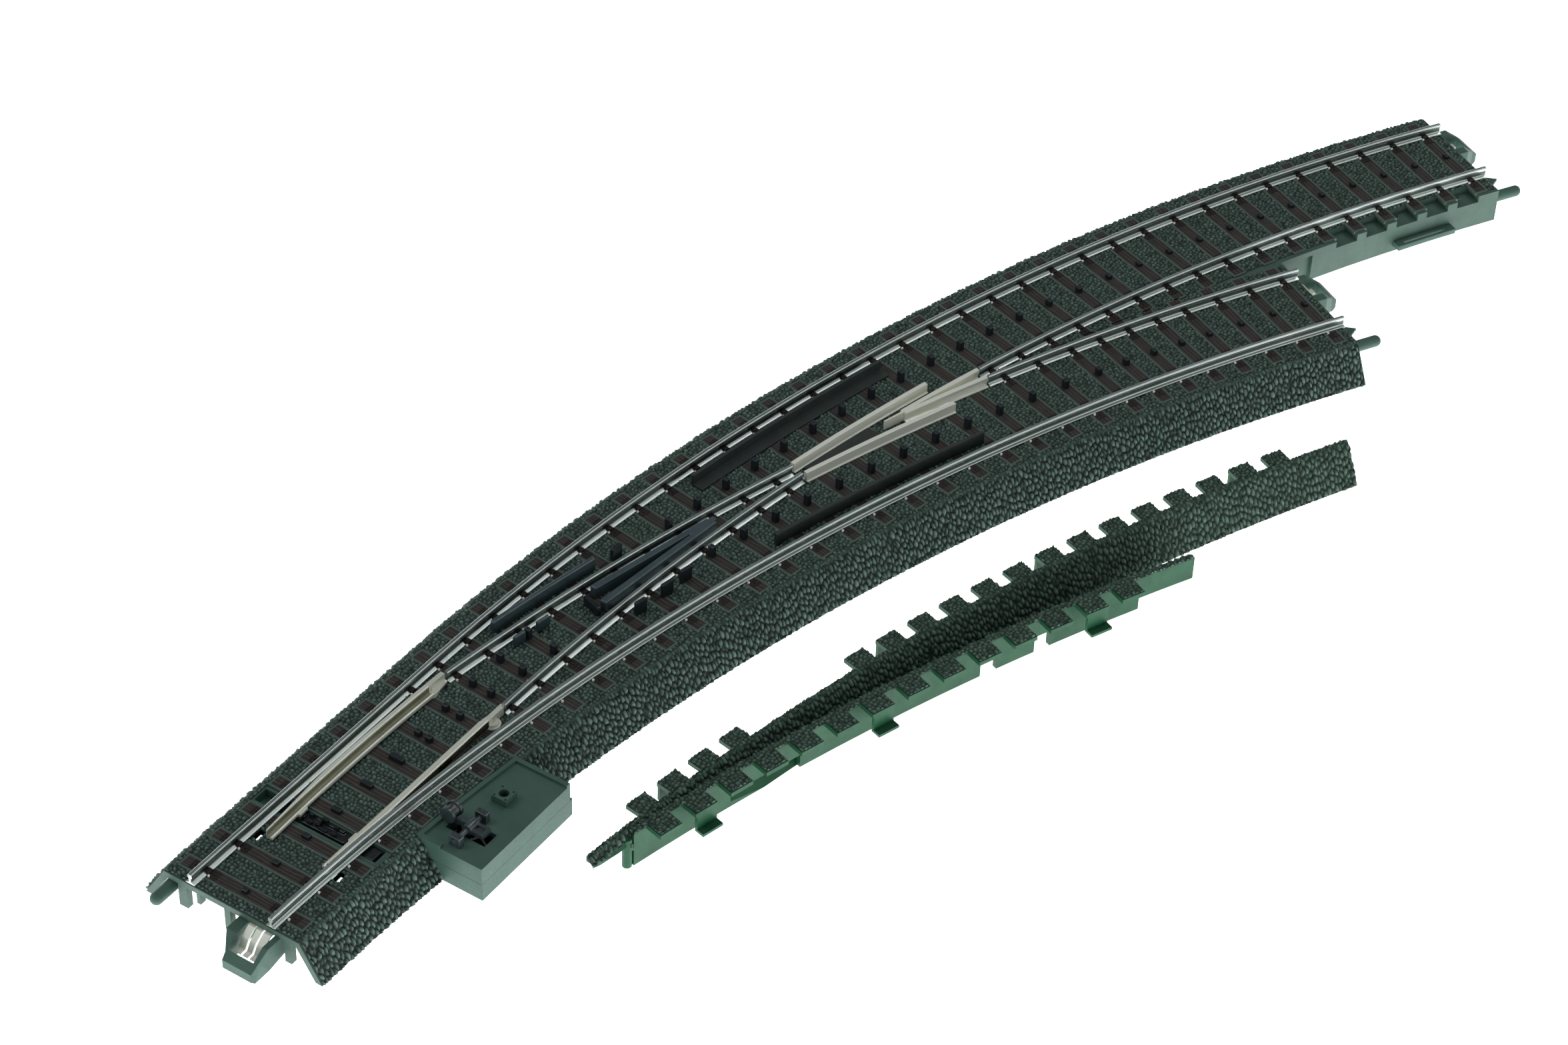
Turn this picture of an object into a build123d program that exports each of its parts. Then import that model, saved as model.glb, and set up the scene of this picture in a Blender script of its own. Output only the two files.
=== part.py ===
from build123d import *
import math
import os

os.makedirs("parts", exist_ok=True)

# Model railway turnout, H0 gauge: a curved right-hand switch on a moulded roadbed.
# Millimetres. Origin: track centre of the single end, on the base plane.
# +X is the heading of the single end, the branches bend towards -Y, +Z is up.
# Two routes share the single end. The inner route is one arc from the start;
# the outer route is straight for LEAD and then bends on the same radius.

# ---- driving dimensions -------------------------------------------------
RADIUS = 515.0            # centre line radius of both routes
TURN = 30.0               # degrees turned by both routes
LEAD = 64.3               # straight lead of the outer route
GAUGE = 16.5              # between rail heads
HEAD_W = 0.94             # rail head width
RAIL_TOP = 10.0           # rail top above the base
BED_TOP = 7.5             # top of the roadbed skin
TIE_TOP = 7.85            # top of the sleepers, where the rails sit
BASE_HALF = 19.2          # half width of the bed at the base
CREST_HALF = 14.6         # half width of the bed at its top
SKIN = 1.2                # roadbed skin thickness
TIE_WIDTH = 2.6
TIE_HALF = 13.3           # half length of a plain sleeper
FLANGEWAY = 3.2           # rail centre to the centre of a wing or check rail
GAP = 0.05                # clearance between separate pieces

RAIL_OFF = (GAUGE + HEAD_W) / 2
HEAD_HALF = HEAD_W / 2
FOOT_HALF = 1.0
FOOT_TOP = 8.1            # upper face of a rail foot
INNER_LEN = math.radians(TURN) * RADIUS
OUTER_LEN = LEAD + INNER_LEN
INNER_PITCH = INNER_LEN / 34
OUTER_PITCH = OUTER_LEN / 42
SLOPE = (BASE_HALF - CREST_HALF) / BED_TOP
WIDE = 60.0               # wider than the whole switch, for trimming solids

# points, throw bar and lever
HEEL = 60.7               # distance of both blade pivots from the single end
BLADE_TIP = 15.5          # distance of both blade tips
BLADE_LOW = 8.15          # underside of the blades, above the stock rail feet
THROW = 2.53              # travel of the throw bar
BAR_X = 23.8              # throw bar centre, between the third and fourth sleeper
SHAFT_Y = -21.75          # lever shaft, which lies along X
SHAFT_Z = 8.6
BOX_X = (31.2, 56.5)      # lever housing
BOX_Y = -28.9
BOX_SPLIT = 3.85          # seam between lower shell and cover
COVER_TOP = 7.5
BOX_BACK = -13.9          # housing's track side, as an offset from the inner route
BLADE_ANGLE = math.degrees(math.asin(THROW / (HEEL - BAR_X)))


# ---- places along the two routes ---------------------------------------
def inner_point(s, off):
    turn = s / RADIUS
    return ((RADIUS + off) * math.sin(turn), (RADIUS + off) * math.cos(turn) - RADIUS)


def outer_point(s, off):
    if s <= LEAD:
        return (s, off)
    x, y = inner_point(s - LEAD, off)
    return (x + LEAD, y)


POINT = {"inner": inner_point, "outer": outer_point}


def heading(route, s):
    run = s if route == "inner" else max(0.0, s - LEAD)
    return -math.degrees(run / RADIUS)


def separation(s):
    """Distance from the outer route, at s, to the inner route's centre line."""
    x, y = outer_point(s, 0)
    return math.hypot(x, y + RADIUS) - RADIUS


# ---- solids along the two routes ---------------------------------------
def swept_arc(profile, centre_x, start, end):
    """Turn an (offset, z) outline about the arc centre, from start to end degrees."""
    points = [(RADIUS + off, 0, z) for off, z in profile]
    face = Face(Wire.make_polygon([Vector(*p) for p in points], close=True))
    solid = revolve(face, Axis.Z, end - start)
    return Pos(centre_x, -RADIUS, 0) * Rot(0, 0, 90 - end) * solid


def swept_line(profile, start, end):
    points = [Vector(start, off, z) for off, z in profile]
    face = Face(Wire.make_polygon(points, close=True))
    return extrude(face, amount=end - start, dir=(1, 0, 0))


def along(route, profile, s0, s1):
    """Run an (offset, z) outline along a route from s0 to s1."""
    if route == "inner":
        return swept_arc(profile, 0, math.degrees(s0 / RADIUS), math.degrees(s1 / RADIUS))
    pieces = []
    if s0 < LEAD:
        pieces.append(swept_line(profile, s0, min(s1, LEAD)))
    if s1 > LEAD:
        start = math.degrees((max(s0, LEAD) - LEAD) / RADIUS)
        end = math.degrees((s1 - LEAD) / RADIUS)
        pieces.append(swept_arc(profile, LEAD, start, end))
    return pieces[0] if len(pieces) == 1 else pieces[0] + pieces[1]


def rectangle(off0, off1, z0, z1):
    return [(off0, z0), (off1, z0), (off1, z1), (off0, z1)]


def rail_profile(off):
    half = [(FOOT_HALF, TIE_TOP), (FOOT_HALF, FOOT_TOP - 0.1), (0.25, FOOT_TOP),
            (0.25, 9.15), (HEAD_HALF, 9.35), (HEAD_HALF, 9.85), (0.33, RAIL_TOP)]
    return [(off + x, z) for x, z in half] + [(off - x, z) for x, z in reversed(half)]


def prism(points, z0, z1):
    """A vertical prism on a plan outline."""
    face = Face(Wire.make_polygon([Vector(x, y, z0) for x, y in points], close=True))
    return extrude(face, amount=z1 - z0, dir=(0, 0, 1))


def block(x0, x1, y0, y1, z0, z1):
    return Pos((x0 + x1) / 2, (y0 + y1) / 2, (z0 + z1) / 2) * Box(x1 - x0, y1 - y0, z1 - z0)


def post(x, y, z0, z1, radius):
    return Pos(x, y, (z0 + z1) / 2) * Cylinder(radius, z1 - z0)


def rod_x(x0, x1, y, z, radius):
    return Pos((x0 + x1) / 2, y, z) * Rot(0, 90, 0) * Cylinder(radius, x1 - x0)


def placed(route, s, off, z, solid):
    """Stand a solid, made about the origin with +X along the track, on a route."""
    x, y = POINT[route](s, off)
    return Pos(x, y, z) * Rot(0, 0, heading(route, s)) * solid


def strip(a, b, width, z0, z1):
    """A straight flat bar from plan point a to plan point b."""
    length = math.dist(a, b)
    angle = math.degrees(math.atan2(b[1] - a[1], b[0] - a[0]))
    middle = ((a[0] + b[0]) / 2, (a[1] + b[1]) / 2)
    bar = Box(length, width, z1 - z0)
    return Pos(middle[0], middle[1], (z0 + z1) / 2) * Rot(0, 0, angle) * bar


def save(name, shape):
    solids = shape if isinstance(shape, list) else shape.solids()
    part = solids[0] if len(solids) == 1 else Compound(children=[Solid(s.wrapped) for s in solids])
    part.label = name
    export_step(part, f"parts/{name}.step")


# ---- sleepers -----------------------------------------------------------
def tie_lines():
    """Plan line of every sleeper: (key, first end, last end)."""
    lines = []
    for k in range(24):
        far = outer_point((k + 0.5) * OUTER_PITCH, TIE_HALF)
        near = inner_point((k + 0.5) * INNER_PITCH, -TIE_HALF)
        lines.append(("long", k, far, near))
    for k in range(24, 42):
        s = (k + 0.5) * OUTER_PITCH
        spare = separation(s) - 2 * RAIL_OFF
        reach = min(TIE_HALF, RAIL_OFF + spare / 2 - GAP)
        lines.append(("outer", k, outer_point(s, TIE_HALF), outer_point(s, -reach)))
    for k, (far_s, near_s) in enumerate(inner_tie_ends()):
        spare = separation(near_s + 4) - 2 * RAIL_OFF
        reach = min(TIE_HALF, RAIL_OFF + spare / 2 - GAP)
        lines.append(("inner", 24 + k, inner_point(far_s, reach), inner_point(near_s, -TIE_HALF)))
    return lines


def inner_tie_ends():
    """Ends of the inner route's own sleepers: they close up, then open to the joint."""
    near = [24.4 * INNER_PITCH + 7.9 * k for k in range(4)]
    near += [near[-1] + 6.6 * (k + 1) for k in range(4)]
    near += [near[-1] + 7.5 * (k + 1) for k in range(3)]
    skew = [1.5 * (1 - k / (len(near) - 1)) for k in range(len(near))]
    return [(s - lag, s) for s, lag in zip(near, skew)]


def rail_spans():
    """Every running rail on the sleepers: (name, route, offset, start, end)."""
    return [
        ("far_stock_rail", "outer", RAIL_OFF, 0.0, OUTER_LEN),
        ("near_stock_rail", "inner", -RAIL_OFF, 0.0, INNER_LEN),
        ("far_closure_rail", "inner", RAIL_OFF, 64.1, 148.8),
        ("near_closure_rail", "outer", -RAIL_OFF, 64.2, 150.4),
        ("outer_branch_rail", "outer", -RAIL_OFF, 199.6, OUTER_LEN),
        ("inner_branch_rail", "inner", RAIL_OFF, 196.2, INNER_LEN),
    ]


def chairs_on(kind, far, near):
    """Rail chairs on the outer side of each rail that a sleeper carries."""
    chairs = []
    length = math.dist(far, near)
    ux, uy = (near[0] - far[0]) / length, (near[1] - far[1]) / length
    angle = math.degrees(math.atan2(uy, ux))
    overhang = TIE_HALF - RAIL_OFF
    far_rail = length - overhang - 2 * RAIL_OFF if kind == "inner" else overhang
    near_rail = overhang + 2 * RAIL_OFF if kind == "outer" else length - overhang
    for centre in (far_rail - 1.95, near_rail + 1.95):
        if centre < 0.8 or centre > length - 0.8:
            continue
        x, y = far[0] + ux * centre, far[1] + uy * centre
        chairs.append(Pos(x, y, TIE_TOP + 0.1) * Rot(0, 0, angle) * Box(1.5, 1.8, 0.3))
    return chairs


def make_sleepers():
    ties = []
    slots = stud_slots()
    for kind, _, far, near in tie_lines():
        tie = strip(far, near, TIE_WIDTH, BED_TOP, TIE_TOP)
        for chair in chairs_on(kind, far, near):
            tie = tie + chair
        ties.append((tie - slots).solids()[0])
    return ties


# ---- roadbed ------------------------------------------------------------
def bed_envelope(inset, top):
    """Outer form of the bed, or of its hollow when inset is positive."""
    low = BASE_HALF - inset
    high = BASE_HALF - inset - SLOPE * top
    wall = 14.4 - inset
    bottom = -1.0 if inset else 0.0
    near_side = [(-low - SLOPE * -bottom, bottom), (-high, top), (WIDE, top), (WIDE, bottom)]
    far_side = [(-WIDE, bottom), (-WIDE, top), (high, top), (low + SLOPE * -bottom, bottom)]
    branch = [(-wall, bottom), (-wall, top), (high, top), (low + SLOPE * -bottom, bottom)]
    both = along("inner", near_side, 0, INNER_LEN) & along("outer", far_side, 0, OUTER_LEN)
    tail = along("outer", branch, 255, OUTER_LEN)
    tail = tail - along("inner", rectangle(-WIDE, WIDE, -5, 20), 0, INNER_LEN)
    return both + tail


def bed_ribs():
    """Stiffening ribs under the skin, notched for the centre conductor."""
    top = BED_TOP - SKIN
    ribs = []
    for k in (1.4, 5.6, 7.5, 10, 14, 18, 22, 26, 30, 33):
        a = outer_point(k * OUTER_PITCH, 19.0)
        b = inner_point(k * INNER_PITCH, -19.0)
        ribs.append(strip(a, b, 1.0, 1.0, top + 0.1))
    for k in (36, 39):
        a = outer_point(k * OUTER_PITCH, 19.0)
        b = outer_point(k * OUTER_PITCH, -14.0)
        ribs.append(strip(a, b, 1.0, 1.0, top + 0.1))
    ribs.append(along("outer", rectangle(3.6, 4.6, 1.0, top + 0.1), 44.8, 310))
    ribs.append(along("inner", rectangle(-4.6, -3.6, 1.0, top + 0.1), 44.8, 262))
    ribs.append(block(11.0, 44.8, 6.0, 7.0, 1.0, top + 0.1))
    return ribs


def end_legs():
    """Legs under the single end of the skin: (lower y, upper y, foot height)."""
    legs = []
    for y0, y1, foot in ((9.7, 11.6, 1.3), (6.7, 7.5, 4.0), (0.2, 1.5, 1.4), (-12.8, -11.4, 1.4)):
        legs.append(block(0.0, 1.3, y0, y1, foot, BED_TOP - SKIN + 0.1))
    return legs


def make_roadbed():
    hollow_inset = SKIN * math.sqrt(1 + SLOPE * SLOPE)
    hollow = bed_envelope(hollow_inset, BED_TOP - SKIN)
    ribs = bed_ribs()
    rib_set = ribs[0].fuse(*ribs[1:]) & bed_envelope(hollow_inset - 0.1, BED_TOP - SKIN + 0.1)
    channel = along("outer", rectangle(-2.9, 2.9, 5.4, 7.0), 0, 330)
    channel_b = along("inner", rectangle(-2.9, 2.9, 5.4, 7.0), 40, 266)
    rib_set = rib_set - channel - channel_b
    pocket_floor = along("outer", rectangle(-14.3, -9.9, 4.8, 6.0), 286.3, 331.0)
    bed = bed_envelope(0, BED_TOP) - hollow
    bed = bed + rib_set + pocket_floor + end_legs()
    cuts = [housing_plan(GAP, -1, 20), housing_skirt(GAP)]
    for k in (38, 40):
        cuts.append(placed("outer", (k + 0.9) * OUTER_PITCH, -11.4, 6, Box(1.6, 1.3, 4)))
    cuts.append(block(21.5, 26.1, -13.7, 13.9, 5, 9))
    cuts += [block(14.6, 17.0, -11.2, -9.9, 5, 9), block(14.6, 17.0, 6.3, 7.6, 5, 9)]
    cuts.append(placed("inner", INNER_LEN - 15.5, -RAIL_OFF - 1.8, 7, Box(2.2, 1.2, 4)))
    cuts.append(placed("inner", INNER_LEN - 15.5, RAIL_OFF - 1.8, 7, Box(2.2, 1.2, 4)))
    for k in range(36, 41):
        s = (k + 1) * OUTER_PITCH
        pocket = Box(OUTER_PITCH - TIE_WIDTH, 5.0, 3.0)
        cuts.append(placed("outer", s, -13.0, 7.5, pocket))
    # the open throat beside the inner joint, where the infill piece plugs in
    cuts.append(along("outer", rectangle(-18, -13.6, -1, BED_TOP - 1.2), 277.0, 285.2))
    return bed - cuts - stud_slots()


# ---- centre studs and their conductor ----------------------------------
STUD_LONG = 1.0


def stud_height(k):
    """Studs stand tallest where the collector shoe has to clear the rails."""
    if k < 4 or k > 30:
        return 0.75
    if k < 11:
        return 0.75 + 1.75 * (k - 4) / 7
    if k < 23:
        return 2.5
    return 2.5 - 1.75 * (k - 23) / 8


def stud_places():
    """(x, y, turn, width, height) of each stud: one per route on every sleeper."""
    places = []
    for kind, k, far, near in tie_lines():
        for route in ("outer", "inner"):
            if kind not in ("long", route):
                continue
            s = (k + 0.5) * (OUTER_PITCH if route == "outer" else INNER_PITCH)
            if kind == "inner":
                s = inner_tie_ends()[k - 24][1] - 0.5
            apart = separation(s)
            if apart < 2.4:
                if route == "inner":
                    continue
                x, y = outer_point(s, -apart / 2)
                places.append((x, y, 0, 1.2 + apart, stud_height(k)))
                continue
            if 11 <= k <= 14:
                continue
            off = 0.0
            x, y = crossing(far, near, route, off)
            if clear_of_rails(x, y):
                angle = math.degrees(math.atan2(near[1] - far[1], near[0] - far[0])) + 90
                places.append((x, y, angle, 1.2, stud_height(k)))
    return places


def crossing(far, near, route, off):
    """Where a sleeper's line crosses a route, at an offset from its centre line."""
    centre_x = 0.0 if route == "inner" else LEAD
    low, high = 0.0, 1.0
    for _ in range(40):
        mid = (low + high) / 2
        x = far[0] + (near[0] - far[0]) * mid
        y = far[1] + (near[1] - far[1]) * mid
        if route == "outer" and x <= LEAD:
            here = y
        else:
            here = math.hypot(x - centre_x, y + RADIUS) - RADIUS
        if here > off:
            low = mid
        else:
            high = mid
    return x, y


def clear_of_rails(x, y):
    to_inner = math.hypot(x, y + RADIUS) - RADIUS
    to_outer = y if x <= LEAD else math.hypot(x - LEAD, y + RADIUS) - RADIUS
    return min(abs(to_inner - RAIL_OFF), abs(to_outer + RAIL_OFF)) > 2.2


def stud_slots():
    slots = []
    for x, y, angle, width, _ in stud_places():
        slot = Box(STUD_LONG + 2 * GAP, width + 2 * GAP, 3)
        slots.append(Pos(x, y, 7) * Rot(0, 0, angle) * slot)
    return slots


def make_studs():
    studs = []
    for x, y, angle, width, height in stud_places():
        stem = Box(STUD_LONG, width, TIE_TOP + height - 6.2)
        studs.append(Pos(x, y, (TIE_TOP + height + 6.2) / 2) * Rot(0, 0, angle) * stem)
    return studs


CROSSING_STUDS = [("outer", 109.8, 1.7), ("inner", 101.4, -2.9),
                  ("inner", 108.4, -2.5), ("inner", 113.6, -1.9)]


def make_crossing_studs():
    """Tall bladed studs beside the rails where the two centre lines cross them."""
    blades = []
    for route, s, off in CROSSING_STUDS:
        low = Box(2.6, 0.8, 3.0)
        blades.append(placed(route, s, off, TIE_TOP + 1.5, low))
    return blades


def make_conductor():
    """Sheet strip that joins the studs, dipping under the throw bar tray."""
    flat = rectangle(-2.5, 2.5, 5.9, 6.2)
    strip_main = along("outer", flat, 29.2, OUTER_LEN - 6)
    branch = along("inner", flat, 40.0, INNER_LEN - 6)
    lead = block(4.0, 18.8, -2.5, 2.5, 5.9, 6.2)
    dip = block(18.5, 29.5, -2.5, 2.5, 4.1, 4.4)
    dip = dip + block(18.5, 18.8, -2.5, 2.5, 4.1, 6.0) + block(29.2, 29.5, -2.5, 2.5, 4.1, 6.0)
    return strip_main + branch + lead + dip


# ---- rails, frog and guides --------------------------------------------
def make_frog():
    """Cast crossing nose: two rails that meet in a point, on one base plate."""
    far_leg = along("inner", rail_profile(RAIL_OFF), 176.0, 195.8)
    near_leg = along("outer", rail_profile(-RAIL_OFF), 178.4, 199.2)
    nose = prism([inner_point(171.2, RAIL_OFF + 0.1), inner_point(176.1, RAIL_OFF + HEAD_HALF),
                  outer_point(178.5, -RAIL_OFF - HEAD_HALF), outer_point(173.6, -RAIL_OFF - 0.1)],
                 TIE_TOP, RAIL_TOP - 0.1)
    return far_leg + near_leg + nose


def wing_rail(route, off, s0, s1):
    profile = [(off - 0.8, TIE_TOP), (off + 0.8, TIE_TOP), (off + 0.8, FOOT_TOP),
               (off + 0.45, FOOT_TOP), (off + 0.45, RAIL_TOP), (off - 0.45, RAIL_TOP),
               (off - 0.45, FOOT_TOP), (off - 0.8, FOOT_TOP)]
    return along(route, profile, s0, s1)


def make_frog_floor():
    """Moulded floor of the flangeways between the wing rails."""
    edge = RAIL_OFF - FLANGEWAY + 1.0
    outline = [outer_point(153, -edge), outer_point(171, -edge), inner_point(170, edge), inner_point(153, edge)]
    return prism(outline, TIE_TOP, TIE_TOP + 0.5)


def make_vee_guide():
    """Two legs that meet in a point and steer the collector shoe past the rails."""
    top = 10.4
    far_leg = prism([(98.4, -2.7), (126.6, -9.0), (126.6, -10.3), (98.4, -4.1)], TIE_TOP, top)
    near_edge = [(96.3, -6.5), (119.5, -9.1), (127.0, -10.1), (127.0, -11.2), (96.3, -7.9)]
    near_leg = prism(near_edge, TIE_TOP, top)
    point = prism([(121.0, -7.9), (127.8, -9.6), (127.8, -10.6), (121.0, -10.4)], TIE_TOP, top)
    return far_leg + near_leg + point


def make_vee_clip():
    """Cross clip that ties the open ends of the vee's legs together."""
    return strip((96.2, -3.2), (94.9, -7.3), 0.9, TIE_TOP, 10.0)


def make_near_guide_plates():
    """Two short guide plates, one each side of a centre stud."""
    plate = rectangle(5.9, 6.7, TIE_TOP, 10.2)
    spans = ((78.6, 81.2), (84.3, 87.2))
    return [along("inner", plate, start, end).solids()[0] for start, end in spans]


def make_point_blade(side):
    """One blade in its closed place. side is +1 for the far blade, -1 for the near one."""
    tip_face = RAIL_OFF - HEAD_HALF - 0.03
    steps = 14
    heel_end = HEEL + 2.9
    gauge_edge, back_edge = [], []
    for i in range(steps + 1):
        s = BLADE_TIP + (heel_end - BLADE_TIP) * i / steps
        if side > 0:
            gauge = inner_point(s, RAIL_OFF - HEAD_HALF)
            back = inner_point(s, RAIL_OFF + HEAD_HALF)
            back = (back[0], min(back[1], tip_face))
        else:
            gauge = (s, -RAIL_OFF + HEAD_HALF)
            stock = -RADIUS + math.sqrt((RADIUS - tip_face) ** 2 - s * s)
            back = (s, max(-RAIL_OFF - HEAD_HALF, stock))
        gauge_edge.append(gauge)
        back_edge.append(back)
    outline = gauge_edge + back_edge[::-1]
    upright = prism(outline, BLADE_LOW, RAIL_TOP)
    foot_width = [1.15 if 3 < i < steps else 0.5 for i in range(steps + 1)]
    foot_edge = [(x, y - side * width) for (x, y), width in zip(gauge_edge, foot_width)]
    inner_edge = [(x, y + side * 0.1) for x, y in gauge_edge]
    foot = prism(foot_edge + inner_edge[::-1], BLADE_LOW, BLADE_LOW + 0.45)
    x, y = blade_pivot(side)
    boss = post(x, y, BLADE_LOW, BLADE_LOW + 0.45, 1.3)
    bar_pin = post(BAR_X, blade_pin_y(side), 6.4, BLADE_LOW + 0.4, 0.45)
    root, rim = blade_pin_y(side) + side, blade_pin_y(side) - side * 0.7
    ear = prism([(BAR_X - 1.5, root), (BAR_X + 2.2, root), (BAR_X + 1.2, rim), (BAR_X - 0.8, rim)],
                BLADE_LOW, BLADE_LOW + 0.45)
    blade = upright + foot + boss + bar_pin + ear
    return blade - post(x, y, BLADE_LOW - 1, BLADE_LOW + 1.2, 0.5)


def blade_pivot(side):
    if side > 0:
        return inner_point(59.8, RAIL_OFF)
    return (HEEL, -RAIL_OFF)


def blade_pin_y(side):
    if side > 0:
        return inner_point(BAR_X, RAIL_OFF - 1.3)[1]
    return -RAIL_OFF + 1.3


def swung(blade, side, degrees):
    x, y = blade_pivot(side)
    return Pos(x, y, 0) * Rot(0, 0, degrees) * Pos(-x, -y, 0) * blade


def make_blade_pivots():
    pivots = []
    for side in (1, -1):
        x, y = blade_pivot(side)
        washer = post(x, y, TIE_TOP, TIE_TOP + 0.24, 1.7)
        pivots.append(washer + post(x, y, TIE_TOP, BLADE_LOW + 1.1, 0.45))
    return pivots


# ---- throw bar and its slide -------------------------------------------
def make_throw_bar():
    bar = block(BAR_X - 1.3, BAR_X + 1.3, -12.3, 9.6, 5.7, 7.2)
    bar = bar + block(BAR_X - 1.3, BAR_X - 0.7, -6.0, 3.0, 7.2, 7.7)
    bar = bar + block(BAR_X + 0.7, BAR_X + 1.3, -4.5, 1.5, 7.2, 7.7)
    near_hole = block(BAR_X - 0.65, BAR_X + 0.65, -RAIL_OFF + 0.8, -RAIL_OFF + 1.8, 5, 8)
    open_y = blade_pin_y(1) - THROW
    far_hole = block(BAR_X - 0.65, BAR_X + 0.65, open_y - 0.5, open_y + 0.5, 5, 8)
    drive_post = block(BAR_X - 0.7, BAR_X + 0.7, -11.8, -9.6, 2.9, 5.7)
    return bar - near_hole - far_hole + drive_post


def make_bar_tray():
    tray = block(21.5 + GAP, 26.1 - GAP, -13.7 + GAP, 13.9 - GAP, 5.0, BED_TOP)
    tray = tray - block(22.2, 25.4, -13.1, 13.3, 5.6, 9)
    return tray - block(BAR_X - 0.9, BAR_X + 0.9, -12.2, -6.4, 4, 7)


def make_setting_slide():
    """Flat L that carries the lever's motion to the throw bar, under the skin."""
    return block(BAR_X - 1.5, 39.6, -12.2, -9.2, 1.7, 2.9) + block(36.0, 39.6, -24.6, -12.0, 1.7, 2.9)


# ---- lever housing ------------------------------------------------------
def housing_plan(grow, z0, z1):
    """Plan of the housing: a box whose track side follows the ends of the sleepers."""
    box = block(BOX_X[0] - grow, BOX_X[1] + grow, BOX_Y - grow, -10.0, z0, z1)
    back = Pos(0, -RADIUS, (z0 + z1) / 2) * Cylinder(RADIUS + BOX_BACK + grow, z1 - z0 + 2)
    return box & back


def housing_skirt(grow):
    """The lower shell stands out a little from the cover at its far end."""
    return housing_plan(0.7 + grow, 0, BOX_SPLIT) & block(BOX_X[1] - 0.1, 60, BOX_Y - grow, 0, 0, 20)


def make_lever_housing():
    outside = housing_plan(0, 0, BOX_SPLIT) + housing_skirt(0)
    shell = outside - housing_plan(-1.3, -1, 10)
    window = block(35.6, 40.0, -18, -10, 1.4, BOX_SPLIT - 0.6)
    return shell - window


def make_housing_base():
    plate = housing_plan(-1.35, 0.1, 1.1)
    for x, y in screw_places():
        plate = plate - post(x, y, -1, 3, 0.65)
    return plate


def screw_places():
    return [(34.2, -26.0), (53.6, -26.0), (34.0, -18.2), (53.6, -19.4)]


def make_housing_screws():
    screws = []
    for x, y in screw_places():
        screws.append((post(x, y, 0.1, 5.2, 0.6) + post(x, y, 0.0, 0.1, 1.1)).solids()[0])
    return screws


def make_lever_cover():
    outside = housing_plan(0, BOX_SPLIT + 0.03, 8.0)
    inside = housing_plan(-1.3, 2, COVER_TOP - 1.1)
    cover = outside - inside
    pocket = housing_plan(-0.9, COVER_TOP, 9) & block(BOX_X[0] - 2, BOX_X[1] - 0.9, -40, 0, 0, 20)
    open_front = block(BOX_X[0] - 1, BOX_X[1] - 0.9, BOX_Y - 1, -20, COVER_TOP, 9)
    cover = cover - pocket - open_front
    cover = cover - block(35.9, 39.4, SHAFT_Y - 4.2, SHAFT_Y + 4.2, 5, 9)
    for x, y in screw_places():
        cover = cover + post(x, y, BOX_SPLIT + 0.03, COVER_TOP - 1.0, 1.25) - post(x, y, 3, 5.6, 0.62)
    socket_x, socket_y = SOCKET
    return cover - post(socket_x, socket_y, 5, 9, 0.95)


SOCKET = (47.1, -21.7)


def make_lantern_socket():
    x, y = SOCKET
    body = block(x - 1.6, x + 1.6, y - 1.6, y + 1.6, COVER_TOP, 9.0) - post(x, y, 5, 10, 0.95)
    for dx in (-1.2, 1.2):
        for dy in (-1.2, 1.2):
            body = body - post(x + dx, y + dy, 8.2, 10, 0.2)
    return body


def make_bearing_blocks():
    blocks = []
    for x in (33.6, 40.9):
        body = block(x - 0.6, x + 0.6, SHAFT_Y - 1.2, SHAFT_Y + 1.2, COVER_TOP, SHAFT_Z + 1.0)
        blocks.append(body - rod_x(x - 2, x + 2, SHAFT_Y, SHAFT_Z, 0.6))
    return blocks


def make_lever_shaft():
    return rod_x(32.9, 41.6, SHAFT_Y, SHAFT_Z, 0.55)


WEIGHT = (-17.5, 9.6)     # y and z of the counterweight's centre


def make_hand_lever():
    hub = rod_x(36.4, 38.9, SHAFT_Y, SHAFT_Z, 1.05)
    arm = block(37.1, 38.2, SHAFT_Y, WEIGHT[0] - 0.4, SHAFT_Z - 0.5, SHAFT_Z + 0.9)
    grip = block(36.5, 38.8, SHAFT_Y - 3.4, SHAFT_Y, SHAFT_Z - 0.5, SHAFT_Z + 0.5)
    grip = grip - block(37.1, 38.2, SHAFT_Y - 2.8, SHAFT_Y - 1.0, SHAFT_Z, SHAFT_Z + 1)
    lever = hub + arm + grip
    lever = lever - rod_x(30, 45, SHAFT_Y, SHAFT_Z, 0.56)
    return lever - rod_x(36, 40, WEIGHT[0], WEIGHT[1], 1.56)


def make_lever_weight():
    y, z = WEIGHT
    return rod_x(36.5, 37.1, y, z, 1.55) + rod_x(37.1, 38.6, y, z, 1.2) + rod_x(38.6, 39.2, y, z, 1.55)


def make_over_centre_spring():
    """Bent wire between the lever hub and the setting slide."""
    path = FilletPolyline((39.2, -24.0, 3.5), (39.2, -22.5, 5.2), (39.2, -20.6, 3.5), radius=0.5)
    return sweep(Plane(path @ 0, z_dir=path % 0) * Circle(0.2), path)


# ---- joints at the three ends ------------------------------------------
def end_frames():
    inner_x, inner_y = inner_point(INNER_LEN, 0)
    outer_x, outer_y = outer_point(OUTER_LEN, 0)
    return {"entry": Pos(0, 0, 0) * Rot(0, 0, 180), "inner": Pos(inner_x, inner_y, 0) * Rot(0, 0, -TURN),
            "outer": Pos(outer_x, outer_y, 0) * Rot(0, 0, -TURN)}


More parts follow.
